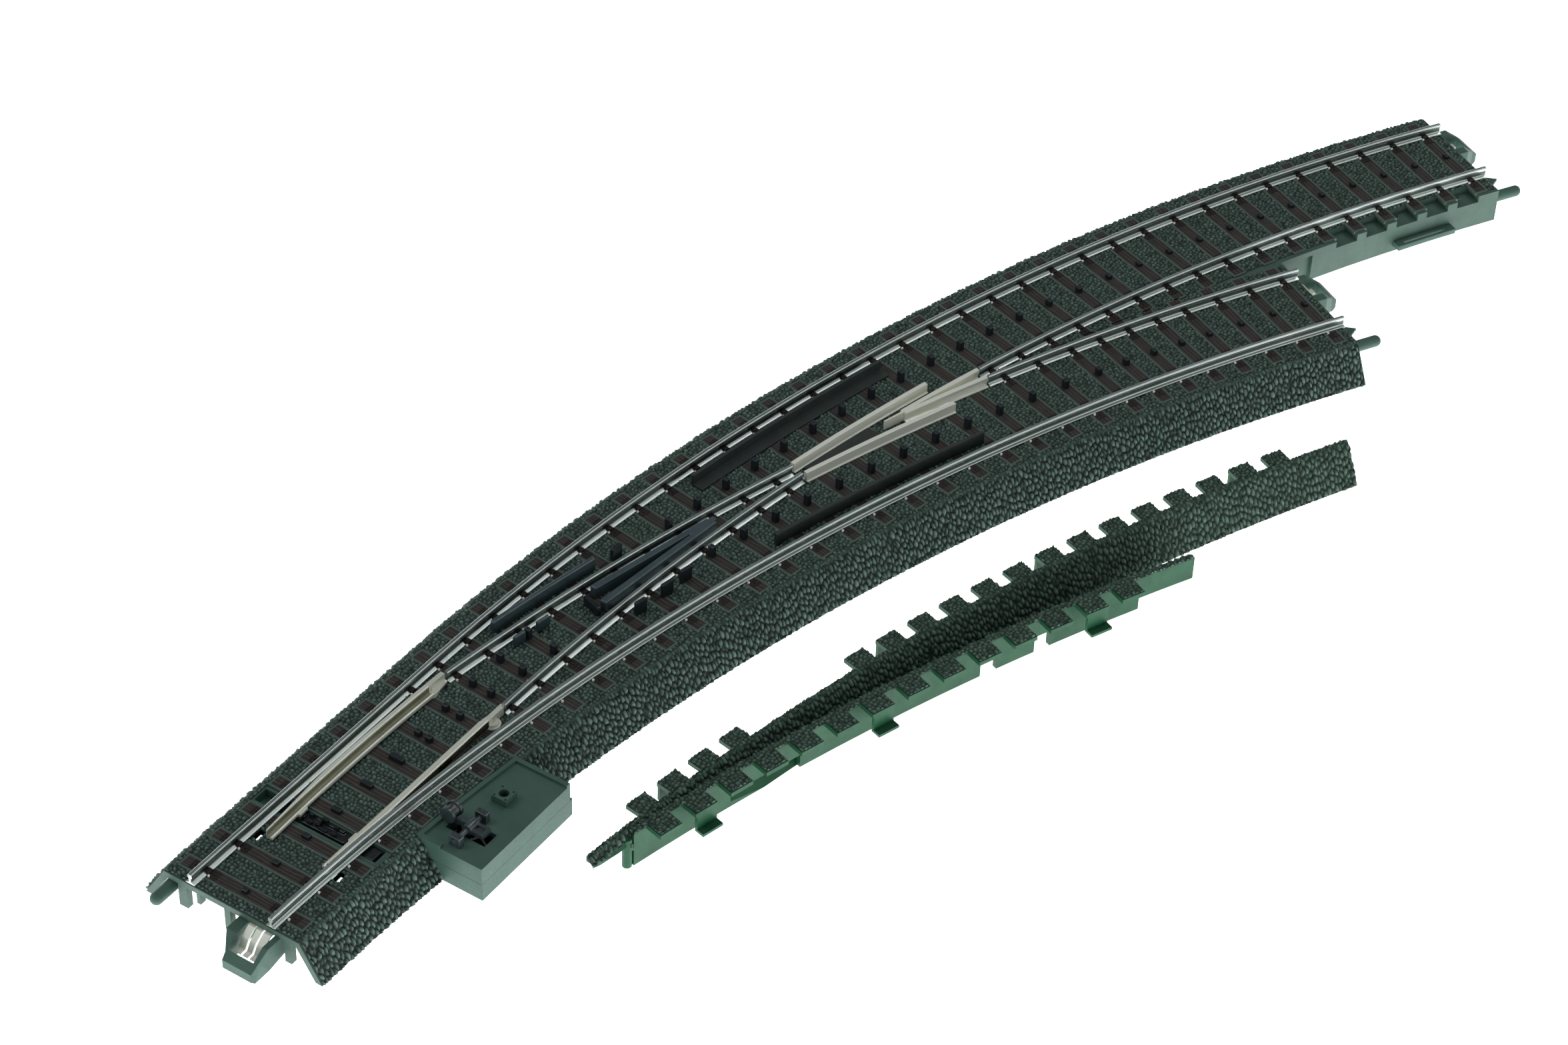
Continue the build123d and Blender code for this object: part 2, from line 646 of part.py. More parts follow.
def make_latch():
    """Sprung loop that hooks under the next track piece. +X points out of the joint."""
    side_view = [(-3.0, 6.3), (3.2, 6.3), (5.4, 4.7), (7.2, 3.3), (7.2, 1.4), (6.4, 0.6), (-3.0, 2.4)]
    face = Face(Wire.make_polygon([Vector(x, 0, z) for x, z in side_view], close=True))
    slab = extrude(face, amount=14.0, dir=(0, 1, 0))
    plan = [(-3.0, 1.7), (3.2, 1.7), (6.0, 3.6), (7.2, 3.8), (7.2, 10.1), (3.2, 10.6), (-3.0, 10.6)]
    window = block(-2.8, 5.6, 3.8, 9.4, -1, 9)
    return (slab & prism(plan, 0, 7)) - window


def make_contacts():
    """Three bowed spring strips inside the latch loop."""
    strips = []
    bow = [(-2.6, 6.3), (0.5, 6.3), (2.3, 5.0), (3.3, 3.4), (4.4, 3.4), (4.4, 3.1), (3.1, 3.1),
           (2.1, 4.7), (0.4, 6.0), (-2.6, 6.0)]
    face = Face(Wire.make_polygon([Vector(x, 0, z) for x, z in bow], close=True))
    for y, width in ((4.2, 1.4), (6.0, 1.1), (7.5, 1.5)):
        strips.append(Pos(0, y, 0) * extrude(face, amount=width, dir=(0, 1, 0)))
    return strips


def make_peg(end):
    """Round peg under the skin; the branch ends carry theirs lower and longer."""
    reach, y, z = (3.7, -13.2, 4.8) if end == "entry" else (6.0, -12.2, 4.3)
    peg = rod_x(-4.0, reach, y, z, 1.2)
    tip = Pos(reach, y, z) * Sphere(1.2)
    web = block(-4.0, -1.0, y - 0.5, y + 0.5, z, BED_TOP - SKIN)
    return peg + tip + web


def make_prong():
    outline = [(-3.0, -9.6), (0.6, -9.6), (1.4, -10.4), (3.2, -9.2), (1.4, -7.9), (0.6, -8.4), (-3.0, -8.4)]
    return prism(outline, 5.7, BED_TOP - SKIN)


# ---- clip on the outer branch's wall -----------------------------------
def make_wall_clip():
    """Finger loop moulded on the wall of the outer branch."""
    plate = along("outer", rectangle(-16.6, -14.4, 1.4, 2.6), 307.0, 322.0)
    return plate - along("outer", rectangle(-15.9, -15.1, 1, 3), 309.0, 320.0)


# ---- loose ballast infill ----------------------------------------------
INFILL_TIP = (44.05, -41.4)
INFILL_HEADING = -5.95
UPPER_R = RADIUS - 14.0
LOWER_R = RADIUS + 14.0
LOWER_HEADING = -12.6
LOWER_START = (52.7, -44.85)
UPPER_LEN = 185.8
LOWER_LEN = 128.1
TAB_PITCH = 7.72
PAD_PITCH = 8.15
WALL_NOTCHES = [(22.7, 38.7, 3.0), (80.0, 83.7, 3.6), (92.3, 95.8, 3.6), (116.0, 140.0, 2.6)]


def arc_centre(start, turn, radius):
    angle = math.radians(turn)
    return (start[0] + radius * math.sin(angle), start[1] - radius * math.cos(angle))


def infill_arm(profile, radius, start, turn, s0, s1):
    """Run an (offset, z) outline along one curved edge of the infill."""
    cx, cy = arc_centre(start, turn, radius)
    first = 90 + turn - math.degrees(s1 / radius)
    points = [Vector(radius + off, 0, z) for off, z in profile]
    face = Face(Wire.make_polygon(points, close=True))
    sweep_angle = math.degrees((s1 - s0) / radius)
    return Pos(cx, cy, 0) * Rot(0, 0, first) * revolve(face, Axis.Z, sweep_angle)


def infill_spot(radius, start, turn, s, off, z, solid):
    cx, cy = arc_centre(start, turn, radius)
    angle = math.radians(90 + turn) - s / radius
    x = cx + (radius + off) * math.cos(angle)
    y = cy + (radius + off) * math.sin(angle)
    return Pos(x, y, z) * Rot(0, 0, math.degrees(angle) - 90) * solid


def tab_places():
    return [16.0 + k * TAB_PITCH for k in list(range(4)) + list(range(7, 21))]


def pad_places():
    return [6.05 + k * PAD_PITCH for k in range(14)]


def make_infill():
    upper = (UPPER_R, INFILL_TIP, INFILL_HEADING)
    lower = (LOWER_R, LOWER_START, LOWER_HEADING)
    skin = 1.1
    run = SLOPE * BED_TOP
    under = BED_TOP - skin
    far_slope = [(0, BED_TOP), (-0.8, BED_TOP), (-0.8 - run, 0), (-0.8 - run + skin, 0), (-1.2, under), (0, under)]
    near_slope = [(0, BED_TOP), (1.2, BED_TOP), (1.2 + run, 0), (1.2 + run - skin, 0), (1.6, under), (skin, under),
                  (skin, 0), (0, 0)]
    far_arm = infill_arm(far_slope, *upper, 0, UPPER_LEN)
    far_arm = far_arm - infill_arm(rectangle(-WIDE, 5, -1, BED_TOP - 2.2), *upper, -2, 8.5)
    near_arm = infill_arm(near_slope, *lower, 0.4, LOWER_LEN)
    near_arm = near_arm - infill_arm(rectangle(1.15, WIDE, -1, BED_TOP - 2.2), *lower, 0, 3.5)
    for s0, s1, height in WALL_NOTCHES:
        near_arm = near_arm - infill_arm(rectangle(-1, 1.15, -1, height), *lower, s0, s1)
    lower_outside = infill_arm(rectangle(-WIDE, 0, -1, 20), *lower, -20, UPPER_LEN + 40)
    upper_outside = infill_arm(rectangle(0, WIDE, -1, 20), *upper, -20, UPPER_LEN + 40)
    body = (far_arm - lower_outside) + (near_arm - upper_outside)
    body = body + infill_spot(*lower, -0.4, 0.9, 3.25, Cylinder(0.9, 6.5))
    extras = []
    for s in pad_places():
        extras.append(infill_spot(*lower, s, -1.65, BED_TOP - 0.45, Box(5.0, 3.5, 0.9)))
    for s in tab_places():
        extras.append(infill_spot(*upper, s, 1.55, BED_TOP - 0.45, Box(4.6, 3.7, 0.9)))
    for k in (1, 6, 12):
        s = pad_places()[k] + 0.1
        extras.append(infill_spot(*lower, s, -3.1, 5.1, Box(4.6, 0.6, 4.2)))
        extras.append(infill_spot(*lower, s, -3.9, 3.3, Box(4.6, 2.2, 0.6)))
    for k in (1, 5, 10, 16):
        extras.append(infill_spot(*upper, tab_places()[k], 3.0, 5.3, Box(4.4, 0.6, 3.8)))
    for extra in extras:
        body = body + extra
    return body


# ---- build --------------------------------------------------------------
def build_all():
    for name, route, off, s0, s1 in rail_spans():
        save(name, along(route, rail_profile(off), s0, s1))
    save("sleepers", make_sleepers())
    save("roadbed", make_roadbed())
    save("centre_studs", [s.solids()[0] for s in make_studs()])
    save("crossing_studs", [s.solids()[0] for s in make_crossing_studs()])
    save("centre_conductor", make_conductor())
    save("frog_casting", make_frog())
    save("far_wing_rail", wing_rail("outer", -RAIL_OFF + FLANGEWAY, 151.2, 188.2))
    save("near_wing_rail", wing_rail("inner", RAIL_OFF - FLANGEWAY, 149.6, 185.8))
    save("frog_floor", make_frog_floor())
    angle_bar = [(2.6, TIE_TOP), (5.6, TIE_TOP), (5.6, 10.3), (4.9, 10.3), (4.9, 8.2), (2.6, 8.2)]
    save("far_check_rail", along("outer", angle_bar, 135.0, 186.0))
    save("near_check_rail", along("inner", rectangle(-5.6, -4.9, TIE_TOP, 10.6), 133.0, 184.5))
    save("vee_guide", make_vee_guide())
    save("vee_clip", make_vee_clip())
    save("far_guide_bar", along("inner", rectangle(11.3, 12.3, TIE_TOP, 10.6), 78.5, 103.4))
    save("near_guide_plates", make_near_guide_plates())
    save("far_point_blade", swung(make_point_blade(1), 1, BLADE_ANGLE))
    save("near_point_blade", make_point_blade(-1))
    save("blade_pivots", [p.solids()[0] for p in make_blade_pivots()])
    save("throw_bar", make_throw_bar())
    save("throw_bar_tray", make_bar_tray())
    save("setting_slide", make_setting_slide())
    save("lever_housing", make_lever_housing())
    save("housing_base", make_housing_base())
    save("housing_screws", make_housing_screws())
    save("lever_cover", make_lever_cover())
    save("lantern_socket", make_lantern_socket())
    save("bearing_blocks", [b.solids()[0] for b in make_bearing_blocks()])
    save("lever_shaft", make_lever_shaft())
    save("hand_lever", make_hand_lever())
    save("lever_weight", make_lever_weight())
    save("over_centre_spring", make_over_centre_spring())
    pegs, prongs = [], []
    for name, frame in end_frames().items():
        save(f"{name}_latch", frame * make_latch())
        save(f"{name}_contacts", [(frame * c).solids()[0] for c in make_contacts()])
        pegs.append((frame * make_peg(name)).solids()[0])
        if name != "entry":
            prongs.append((frame * make_prong()).solids()[0])
    save("joint_pegs", pegs)
    save("rail_prongs", prongs)
    save("wall_clip", make_wall_clip())
    save("ballast_infill", make_infill())


build_all()
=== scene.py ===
import math
import bmesh
import bpy
import numpy as np
from mathutils import Matrix, Vector


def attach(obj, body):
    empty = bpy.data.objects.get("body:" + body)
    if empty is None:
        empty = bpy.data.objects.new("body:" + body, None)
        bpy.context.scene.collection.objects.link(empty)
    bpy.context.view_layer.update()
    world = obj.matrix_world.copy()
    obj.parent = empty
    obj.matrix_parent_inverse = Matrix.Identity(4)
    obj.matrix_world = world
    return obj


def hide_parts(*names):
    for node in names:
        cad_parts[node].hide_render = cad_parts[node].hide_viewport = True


# Looks of a model railway turnout: stone textured roadbed, wood grained sleepers with rail
# chairs, nickel rails, lever housing and the loose ballast infill piece.
# Sizes are in millimetres in the frame of the CAD model and become metres in make().

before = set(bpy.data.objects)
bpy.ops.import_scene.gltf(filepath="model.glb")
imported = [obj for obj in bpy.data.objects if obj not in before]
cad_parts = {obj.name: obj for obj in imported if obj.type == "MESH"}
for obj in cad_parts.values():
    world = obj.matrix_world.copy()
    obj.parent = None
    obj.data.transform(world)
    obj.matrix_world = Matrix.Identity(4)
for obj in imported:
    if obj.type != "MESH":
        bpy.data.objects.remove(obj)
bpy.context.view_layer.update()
MM = 0.001

# ---- driving dimensions, as in the CAD model ------------------------------
RADIUS = 515.0
TURN = 30.0
LEAD = 64.3
RAIL_OFF = 8.72
RAIL_TOP = 10.0
BED_TOP = 7.5
TIE_TOP = 7.85
BASE_HALF = 19.2
CREST_HALF = 14.6
TIE_HALF = 13.3
TIE_WIDTH = 2.6
INNER_LEN = math.radians(TURN) * RADIUS
OUTER_LEN = LEAD + INNER_LEN
INNER_PITCH = INNER_LEN / 34
OUTER_PITCH = OUTER_LEN / 42
SLOPE = (BASE_HALF - CREST_HALF) / BED_TOP

CREST_STONE = 0.84        # width of a stone on the flat top
SLOPE_STONE = (0.86, 1.5)  # width and length of a stone on the slopes
CREST_RISE = 0.5          # height of the stones on the flat top
SLOPE_RISE = 0.72         # height of the stones on the slopes
PROUD = 0.02              # their grooves lie just above the plastic skin
STONE_STEP = 0.2          # spacing of the surface points that shape the stones
FINE_STEP = 0.16          # the same along the near slope
STONE_SMOOTH = 80         # degrees; sharper edges of stone surfaces stay sharp
SKIRT_RELIEF = 0.3        # relief value on the hidden undersides
BAY_DEPTH = 1.0           # how far stone slabs reach below the bed's top
TIE_RIM = 0.32            # width of the moulded rim around a sleeper
TIE_SINK = 0.3            # how far sleepers reach below the bed's top
EDGE_START = 13.66        # where the edge strips take over from the bays
BAY_END_GAP = 0.35        # bare margin at the ends of the bed, on top
EDGE_END_GAP = 0.3        # the same along its edges
HOUSING_SPAN = (32.6, 57.9)           # along the inner route, where the housing breaks the near slope
HOLE_X = (14.6, 17.0)                 # the two openings below the blade tips
NEAR_HOLE_Y, FAR_HOLE_Y = (-11.2, -9.9), (6.3, 7.6)
HOLE_BAY, BAR_BAY = 1, 2              # bays with the openings and with the throw bar
CUT_BAYS = range(36, 41)              # outer bays that stop at the cut in the bed's near side
CUT_OFF = 10.4                        # offset of that cut from the outer route


# ---- places along the two routes ------------------------------------------
def inner_point(s, off):
    turn = np.asarray(s, float) / RADIUS
    reach = RADIUS + np.asarray(off, float)
    return np.stack(np.broadcast_arrays(reach * np.sin(turn), reach * np.cos(turn) - RADIUS), -1)


def outer_point(s, off):
    s = np.asarray(s, float)
    bent = inner_point(np.maximum(s - LEAD, 0.0), off)
    bent[..., 0] += np.minimum(s, LEAD)
    return bent


POINT = {"inner": inner_point, "outer": outer_point}


def route_spot(route, xy):
    """(distance along, offset from) a route for a plan point."""
    x, y = xy
    if route == "outer":
        if x <= LEAD:
            return x, y
        x -= LEAD
    s = math.atan2(x, y + RADIUS) * RADIUS
    return s + (LEAD if route == "outer" else 0.0), math.hypot(x, y + RADIUS) - RADIUS


def separation(s):
    x, y = outer_point(s, 0)
    return math.hypot(x, y + RADIUS) - RADIUS


def crossing(far, near, route, off):
    """Where a sleeper's line crosses a route, at an offset from its centre line."""
    low, high = 0.0, 1.0
    for _ in range(30):
        mid = (low + high) / 2
        xy = far + (near - far) * mid
        if route_spot(route, xy)[1] > off:
            low = mid
        else:
            high = mid
    return xy


# ---- meshes ----------------------------------------------------------------
class Piece:
    """Gathers closed shapes, in millimetres, into one object."""

    def __init__(self):
        self.points, self.faces, self.values, self.total = [], [], [], 0

    def add(self, points, faces, values=None):
        points = np.asarray(points, float).reshape(-1, 3)
        self.points.append(points)
        self.faces += [tuple(i + self.total for i in face) for face in faces]
        if values is not None:
            self.values.append(np.asarray(values, float))
        self.total += len(points)

    def make(self, name, body, material, slot, replaces=(), value_name=None, smooth=None):
        mesh = bpy.data.meshes.new(name)
        points = np.concatenate(self.points) * MM
        mesh.from_pydata(points.tolist(), [], self.faces)
        if value_name:
            values = np.concatenate(self.values)
            kind = "FLOAT" if values.ndim == 1 else "FLOAT_VECTOR"
            attribute = mesh.attributes.new(value_name, kind, "POINT")
            key = "value" if values.ndim == 1 else "vector"
            attribute.data.foreach_set(key, values.astype(np.float32).ravel())
        tidy = bmesh.new()
        tidy.from_mesh(mesh)
        bmesh.ops.recalc_face_normals(tidy, faces=tidy.faces)
        tidy.to_mesh(mesh)
        tidy.free()
        if smooth is not None:
            mesh.polygons.foreach_set("use_smooth", [True] * len(mesh.polygons))
            mesh.set_sharp_from_angle(angle=math.radians(smooth))
        mesh.materials.append(material)
        piece = bpy.data.objects.new(name, mesh)
        bpy.context.scene.collection.objects.link(piece)
        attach(piece, body)
        if replaces:
            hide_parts(*replaces)

    def make_stones(self, name, body, material):
        self.make(name, body, material, "ballast", value_name="relief", smooth=STONE_SMOOTH)


def closed_sheet(top, under):
    """Faces that join a fine grid of points to a coarse underside with the same rows."""
    rows, cols = top.shape[:2]
    wide = under.shape[1]
    base = rows * cols
    upper = np.arange(rows * cols).reshape(rows, cols)
    lower = base + np.arange(rows * wide).reshape(rows, wide)

    def quads(grid):
        return np.stack([grid[:-1, :-1], grid[:-1, 1:], grid[1:, 1:], grid[1:, :-1]], -1).reshape(-1, 4)

    sides = [np.stack([upper[:, edge], lower[:, edge]], -1) for edge in (0, -1)]
    faces = [quads(upper), quads(lower)] + [quads(side) for side in sides]
    faces = np.concatenate(faces).tolist()
    for row in (0, -1):
        faces.append(upper[row].tolist() + lower[row][::-1].tolist())
    return np.concatenate([top.reshape(-1, 3), under.reshape(-1, 3)]), faces


def eased_box(middle, along, across, half_x, half_y, z0, z1, ease):
    """A box with its top edges eased. along and across are plan directions."""
    middle, along, across = (np.asarray(v, float) for v in (middle, along, across))
    points = []
    for inset, z in ((0.0, z0), (0.0, z1 - ease), (ease, z1)):
        for sx, sy in ((-1, -1), (1, -1), (1, 1), (-1, 1)):
            xy = middle + along * sx * (half_x - inset) + across * sy * (half_y - inset)
            points.append((xy[0], xy[1], z))
    faces = [(3, 2, 1, 0), (8, 9, 10, 11)]
    for ring in (0, 4):
        faces += [(ring + i, ring + (i + 1) % 4, ring + 4 + (i + 1) % 4, ring + 4 + i) for i in range(4)]
    return points, faces


def ring_stack(rings):
    """A closed solid through rings of points, each with the same count."""
    count = len(rings[0])
    points = [p for ring in rings for p in ring]
    faces = [tuple(range(count - 1, -1, -1))]
    for r in range(len(rings) - 1):
        a = r * count
        faces += [(a + i, a + (i + 1) % count, a + count + (i + 1) % count, a + count + i)
                  for i in range(count)]
    last = (len(rings) - 1) * count
    faces.append(tuple(range(last, last + count)))
    return points, faces


def turned(middle, profile, count=20):
    """A solid of revolution about a vertical line; profile is (radius, z) from the bottom up."""
    rings = []
    for radius, z in profile:
        angles = [2 * math.pi * i / count for i in range(count)]
        rings.append([(middle[0] + radius * math.cos(a), middle[1] + radius * math.sin(a), z)
                      for a in angles])
    return ring_stack(rings)


def swept(route, profile, s0, s1, step=1.5):
    """A solid with a closed (offset, z) outline along a route."""
    count = max(2, int((s1 - s0) / step) + 1)
    rings = []
    for s in np.linspace(s0, s1, count):
        xy = POINT[route](s, [off for off, _ in profile])
        rings.append([(x, y, z) for (x, y), (_, z) in zip(xy, profile)])
    return ring_stack(rings)


# ---- stones ------------------------------------------------------------------
STONE_TABLE = np.random.default_rng(7).random((256, 256, 3))


def stones(u, v, shift=0, jitter=0.75, stagger=0.0):
    """Height, 0 to 1, of packed round stones. u and v count stones."""
    cell_u = np.floor(u).astype(int)
    first, second = np.full(u.shape, 9.0), np.full(u.shape, 9.0)
    tall = np.zeros(u.shape)
    for du in (-1, 0, 1):
        slip = stagger * ((cell_u + du) % 2)
        cell_v = np.floor(v - slip).astype(int)
        for dv in (-1, 0, 1):
            chance = STONE_TABLE[(cell_u + du + shift) % 256, (cell_v + dv) % 256]
            gap_u = cell_u + du + 0.5 + jitter * (chance[..., 0] - 0.5) - u
            gap_v = cell_v + dv + slip + 0.5 + jitter * (chance[..., 1] - 0.5) - v
            gap = np.hypot(gap_u, gap_v)
            closer = gap < first
            second = np.where(closer, first, np.minimum(second, gap))
            tall = np.where(closer, chance[..., 2], tall)
            first = np.where(closer, gap, first)
    groove = np.clip((second - first) / 0.5, 0, 1) ** 0.7
    dome = 1 - 0.8 * np.clip(first, 0, 1) ** 2
    return groove * dome * (0.65 + 0.35 * tall)


def slope_stones(along, down, shift):
    """Drops in staggered columns that run down a slope."""
    return stones(along / SLOPE_STONE[0] + 60, down / SLOPE_STONE[1] + 60, shift, 0.85, 0.5)


def crest_stones(xy):
    return stones(xy[..., 0] / CREST_STONE + 400, xy[..., 1] / CREST_STONE + 400)


def crest_patch(corner_grid, drop=BAY_DEPTH):
    """Stone covered slab over a grid of plan points; returns points, faces, relief."""
    relief = crest_stones(corner_grid)
    height = BED_TOP + PROUD + CREST_RISE * relief
    top = np.concatenate([corner_grid, height[..., None]], -1)
    under = top[:, [0, -1]].copy()
    under[..., 2] = BED_TOP - drop
    points, faces = closed_sheet(top, under)
    return points, faces, np.concatenate([relief.ravel(), np.full(under.shape[0] * 2, SKIRT_RELIEF)])


def bay_grid(a0, b0, a1, b1):
    """Plan points between edge a0-b0 and edge a1-b1, spaced for the stones."""
    a0, b0, a1, b1 = (np.asarray(p, float) for p in (a0, b0, a1, b1))
    rows = max(3, int(np.linalg.norm(a1 - a0) / STONE_STEP) + 1)
    cols = max(3, int(max(np.linalg.norm(b0 - a0), np.linalg.norm(b1 - a1)) / STONE_STEP) + 1)
    t = np.linspace(0, 1, rows)[:, None, None]
    w = np.linspace(0, 1, cols)[None, :, None]
    return (a0 * (1 - w) + b0 * w) * (1 - t) + (a1 * (1 - w) + b1 * w) * t


def edge_strip(route, side, s0, s1, step=STONE_STEP):
    """Crest margin, shoulder and slope of the bed on one side, covered in stones."""
    slope_len = math.hypot(BASE_HALF - CREST_HALF, BED_TOP)
    margin = CREST_HALF - EDGE_START
    rows = int((s1 - s0) / step) + 1
    s = np.linspace(s0, s1, rows)[:, None]
    w = np.linspace(0, margin + slope_len, int((margin + slope_len) / STONE_STEP) + 1)[None, :]
    down = np.clip(w - margin, 0, None)
    out = np.where(w < margin, EDGE_START + w, CREST_HALF + down * (BASE_HALF - CREST_HALF) / slope_len)
    z = BED_TOP - down * BED_TOP / slope_len
    lean = np.clip((w - margin + 0.9) / 1.8, 0, 1)
    lean = lean * lean * (3 - 2 * lean)
    normal_out = lean * BED_TOP / slope_len
    normal_up = np.sqrt(1 - normal_out ** 2)
    plan = POINT[route](s, side * (out + 0 * s))
    flat = crest_stones(plan)
    steep = slope_stones(s + 0 * w, w + 0 * s, 90)
    relief = flat * (1 - lean) + steep * lean
    round_off = 0.2 * np.exp(-((w - margin) / 0.6) ** 2)
    height = PROUD - round_off + (CREST_RISE * (1 - lean) + SLOPE_RISE * lean) * relief
    xy = POINT[route](s, side * (out + normal_out * height))
    top = np.concatenate([xy, (z + normal_up * height)[..., None]], -1)
    inner_out = np.array([EDGE_START, CREST_HALF - 0.7, BASE_HALF - 0.75])
    under_xy = POINT[route](s, side * (inner_out[None, :] + 0 * s))
    under_z = np.broadcast_to(np.array([BED_TOP - BAY_DEPTH, BED_TOP - BAY_DEPTH, 0.05]), (rows, 3))
    under = np.concatenate([under_xy, under_z[..., None]], -1)
    top[:, -1, 2] = np.maximum(top[:, -1, 2], 0.02)
    points, faces = closed_sheet(top, under)
    return points, faces, np.concatenate([relief.ravel(), np.full(rows * 3, SKIRT_RELIEF)])


# ---- loose infill ------------------------------------------------------------
UPPER = (RADIUS - 14.0, (44.05, -41.4), -5.95, 185.8)   # radius, start, heading, length
LOWER = (RADIUS + 14.0, (52.7, -44.85), -12.6, 128.1)
TAB_PITCH, PAD_PITCH = 7.72, 8.15
STRIP = {"upper": 0.8, "lower": 1.2}    # level strip along each top edge
WALL_START = 0.4
TONGUE = (8.5, 2.2)                     # length and depth of the thin tongue at the tip
FOOT_START = 3.5                        # where the lower arm's slope reaches full depth


def arc_centre(arm):
    radius, start, heading, _ = arm
    turn = math.radians(heading)
    return start[0] - radius * math.sin(-turn), start[1] - radius * math.cos(turn)


def arm_point(arm, s, off):
    radius, _, heading, _ = arm
    centre = arc_centre(arm)
    turn = math.radians(90 + heading) - np.asarray(s, float) / radius
    reach = radius + np.asarray(off, float)
    x, y = np.broadcast_arrays(centre[0] + reach * np.cos(turn), centre[1] + reach * np.sin(turn))
    return np.stack([x, y], -1)


def arm_spot(arm, xy):
    """(distance along, offset from) an arm for plan points."""
    radius, _, heading, _ = arm
    centre = arc_centre(arm)
    x, y = xy[..., 0] - centre[0], xy[..., 1] - centre[1]
    turn = np.arctan2(y, x)
    return (math.radians(90 + heading) - turn) * radius, np.hypot(x, y) - radius


def slope_height(down):
    """Height of a slope at a level distance beyond the level strip."""
    return BED_TOP - np.clip(down, 0, None) / SLOPE


def arm_reach(side):
    """For each row along an arm, how far down its slope is visible."""
    arm, other = (UPPER, LOWER) if side == "upper" else (LOWER, UPPER)
    hand = -1 if side == "upper" else 1
    start = 0.0 if side == "upper" else WALL_START
    s = np.linspace(start, arm[3], int((arm[3] - start) / STONE_STEP) + 1)
    run = BASE_HALF - CREST_HALF
    level = np.linspace(0, run, 60)
    off = hand * (STRIP[side] + level)
    xy = arm_point(arm, s[:, None], off[None, :])
    other_s, other_off = arm_spot(other, xy)
    gone = STRIP["lower" if side == "upper" else "upper"]
    mine = slope_height(level)[None, :]
    theirs = slope_height(other_off * -hand - gone)
    inside = (other_s > (WALL_START if side == "upper" else 0.0)) & (other_s < other[3])
    cut_away = other_off * -hand < 0
    hidden = inside & (theirs > mine + 0.01) | cut_away
    first = np.where(hidden.any(1), hidden.argmax(1), len(level) - 1)
    reach = level[np.maximum(first, 1)]
    tongue_end = TONGUE[0] if side == "upper" else FOOT_START
    reach = np.where(s < tongue_end, np.minimum(reach, (TONGUE[1] - 0.75) * SLOPE), reach)
    return arm, hand, s, reach


def infill_slope(side):
    """Level strip and slope of one arm, covered in stones, down to the valley or the table."""
    arm, hand, s, reach = arm_reach(side)
    stretch = math.hypot(1.0, 1.0 / SLOPE)
    strip = STRIP[side]
    full = strip + reach * stretch
    cols = int(full.max() / STONE_STEP) + 1
    w = full[:, None] * np.linspace(0, 1, cols)[None, :]
    down = np.clip(w - strip, 0, None) / stretch
    out = np.minimum(w, strip) + down
    lean = np.clip((w - strip + 0.5) / 1.0, 0, 1)
    normal_out = lean / stretch / SLOPE
    normal_up = np.sqrt(1 - normal_out ** 2)
    along = s[:, None] + 0 * w
    steep = slope_stones(along, w, 30 if hand < 0 else 150)
    relief = crest_stones(arm_point(arm, along, hand * out)) * (1 - lean) + steep * lean
    height = PROUD - 0.15 * np.exp(-((w - strip) / 0.5) ** 2) + (CREST_RISE + 0.15 * lean) * relief
    xy = arm_point(arm, along, hand * (out + normal_out * height))
    top = np.concatenate([xy, (slope_height(down) + normal_up * height)[..., None]], -1)
    under_out = np.stack([0 * reach + 0.1, 0 * reach + strip - 0.2, strip - 0.3 + reach], -1)
    level_under = 0 * reach + BED_TOP - 0.5
    under_z = np.stack([level_under, level_under, slope_height(reach) - 0.2], -1)
    under_xy = arm_point(arm, s[:, None], hand * under_out)
    under = np.concatenate([under_xy, under_z[..., None]], -1)
    top[..., 2] = np.maximum(top[..., 2], 0.03)
    under[..., 2] = np.maximum(under[..., 2], 0.01)
    points, faces = closed_sheet(top, under)
    return points, faces, np.concatenate([relief.ravel(), np.full(len(s) * 3, SKIRT_RELIEF)])


def arm_patch(arm, s, half_s, off0, off1):
    corners = [arm_point(arm, s + ds, off) for ds, off in
               ((-half_s, off0), (-half_s, off1), (half_s, off0), (half_s, off1))]
    return crest_patch(bay_grid(*corners), drop=0.6)


def make_infill_stones():
    for side in ("upper", "lower"):
        slope = Piece()
        slope.add(*infill_slope(side))
        slope.make_stones("infill_" + side + "_slope", "infill", INFILL_STONE)
    tops = Piece()
    for k in list(range(4)) + list(range(7, 21)):
        tops.add(*arm_patch(UPPER, 16.0 + k * TAB_PITCH, 2.2, -0.1, 3.3))
    for k in range(14):
        tops.add(*arm_patch(LOWER, 6.05 + k * PAD_PITCH, 2.35, 0.1, -3.2))
    tops.make_stones("infill_pads", "infill", INFILL_STONE)


# ---- sleepers ----------------------------------------------------------------
def inner_tie_ends():
    near = [24.4 * INNER_PITCH + 7.9 * k for k in range(4)]
    near += [near[-1] + 6.6 * (k + 1) for k in range(4)]
    near += [near[-1] + 7.5 * (k + 1) for k in range(3)]
    skew = [1.5 * (1 - k / (len(near) - 1)) for k in range(len(near))]
    return [(s - lag, s) for s, lag in zip(near, skew)]


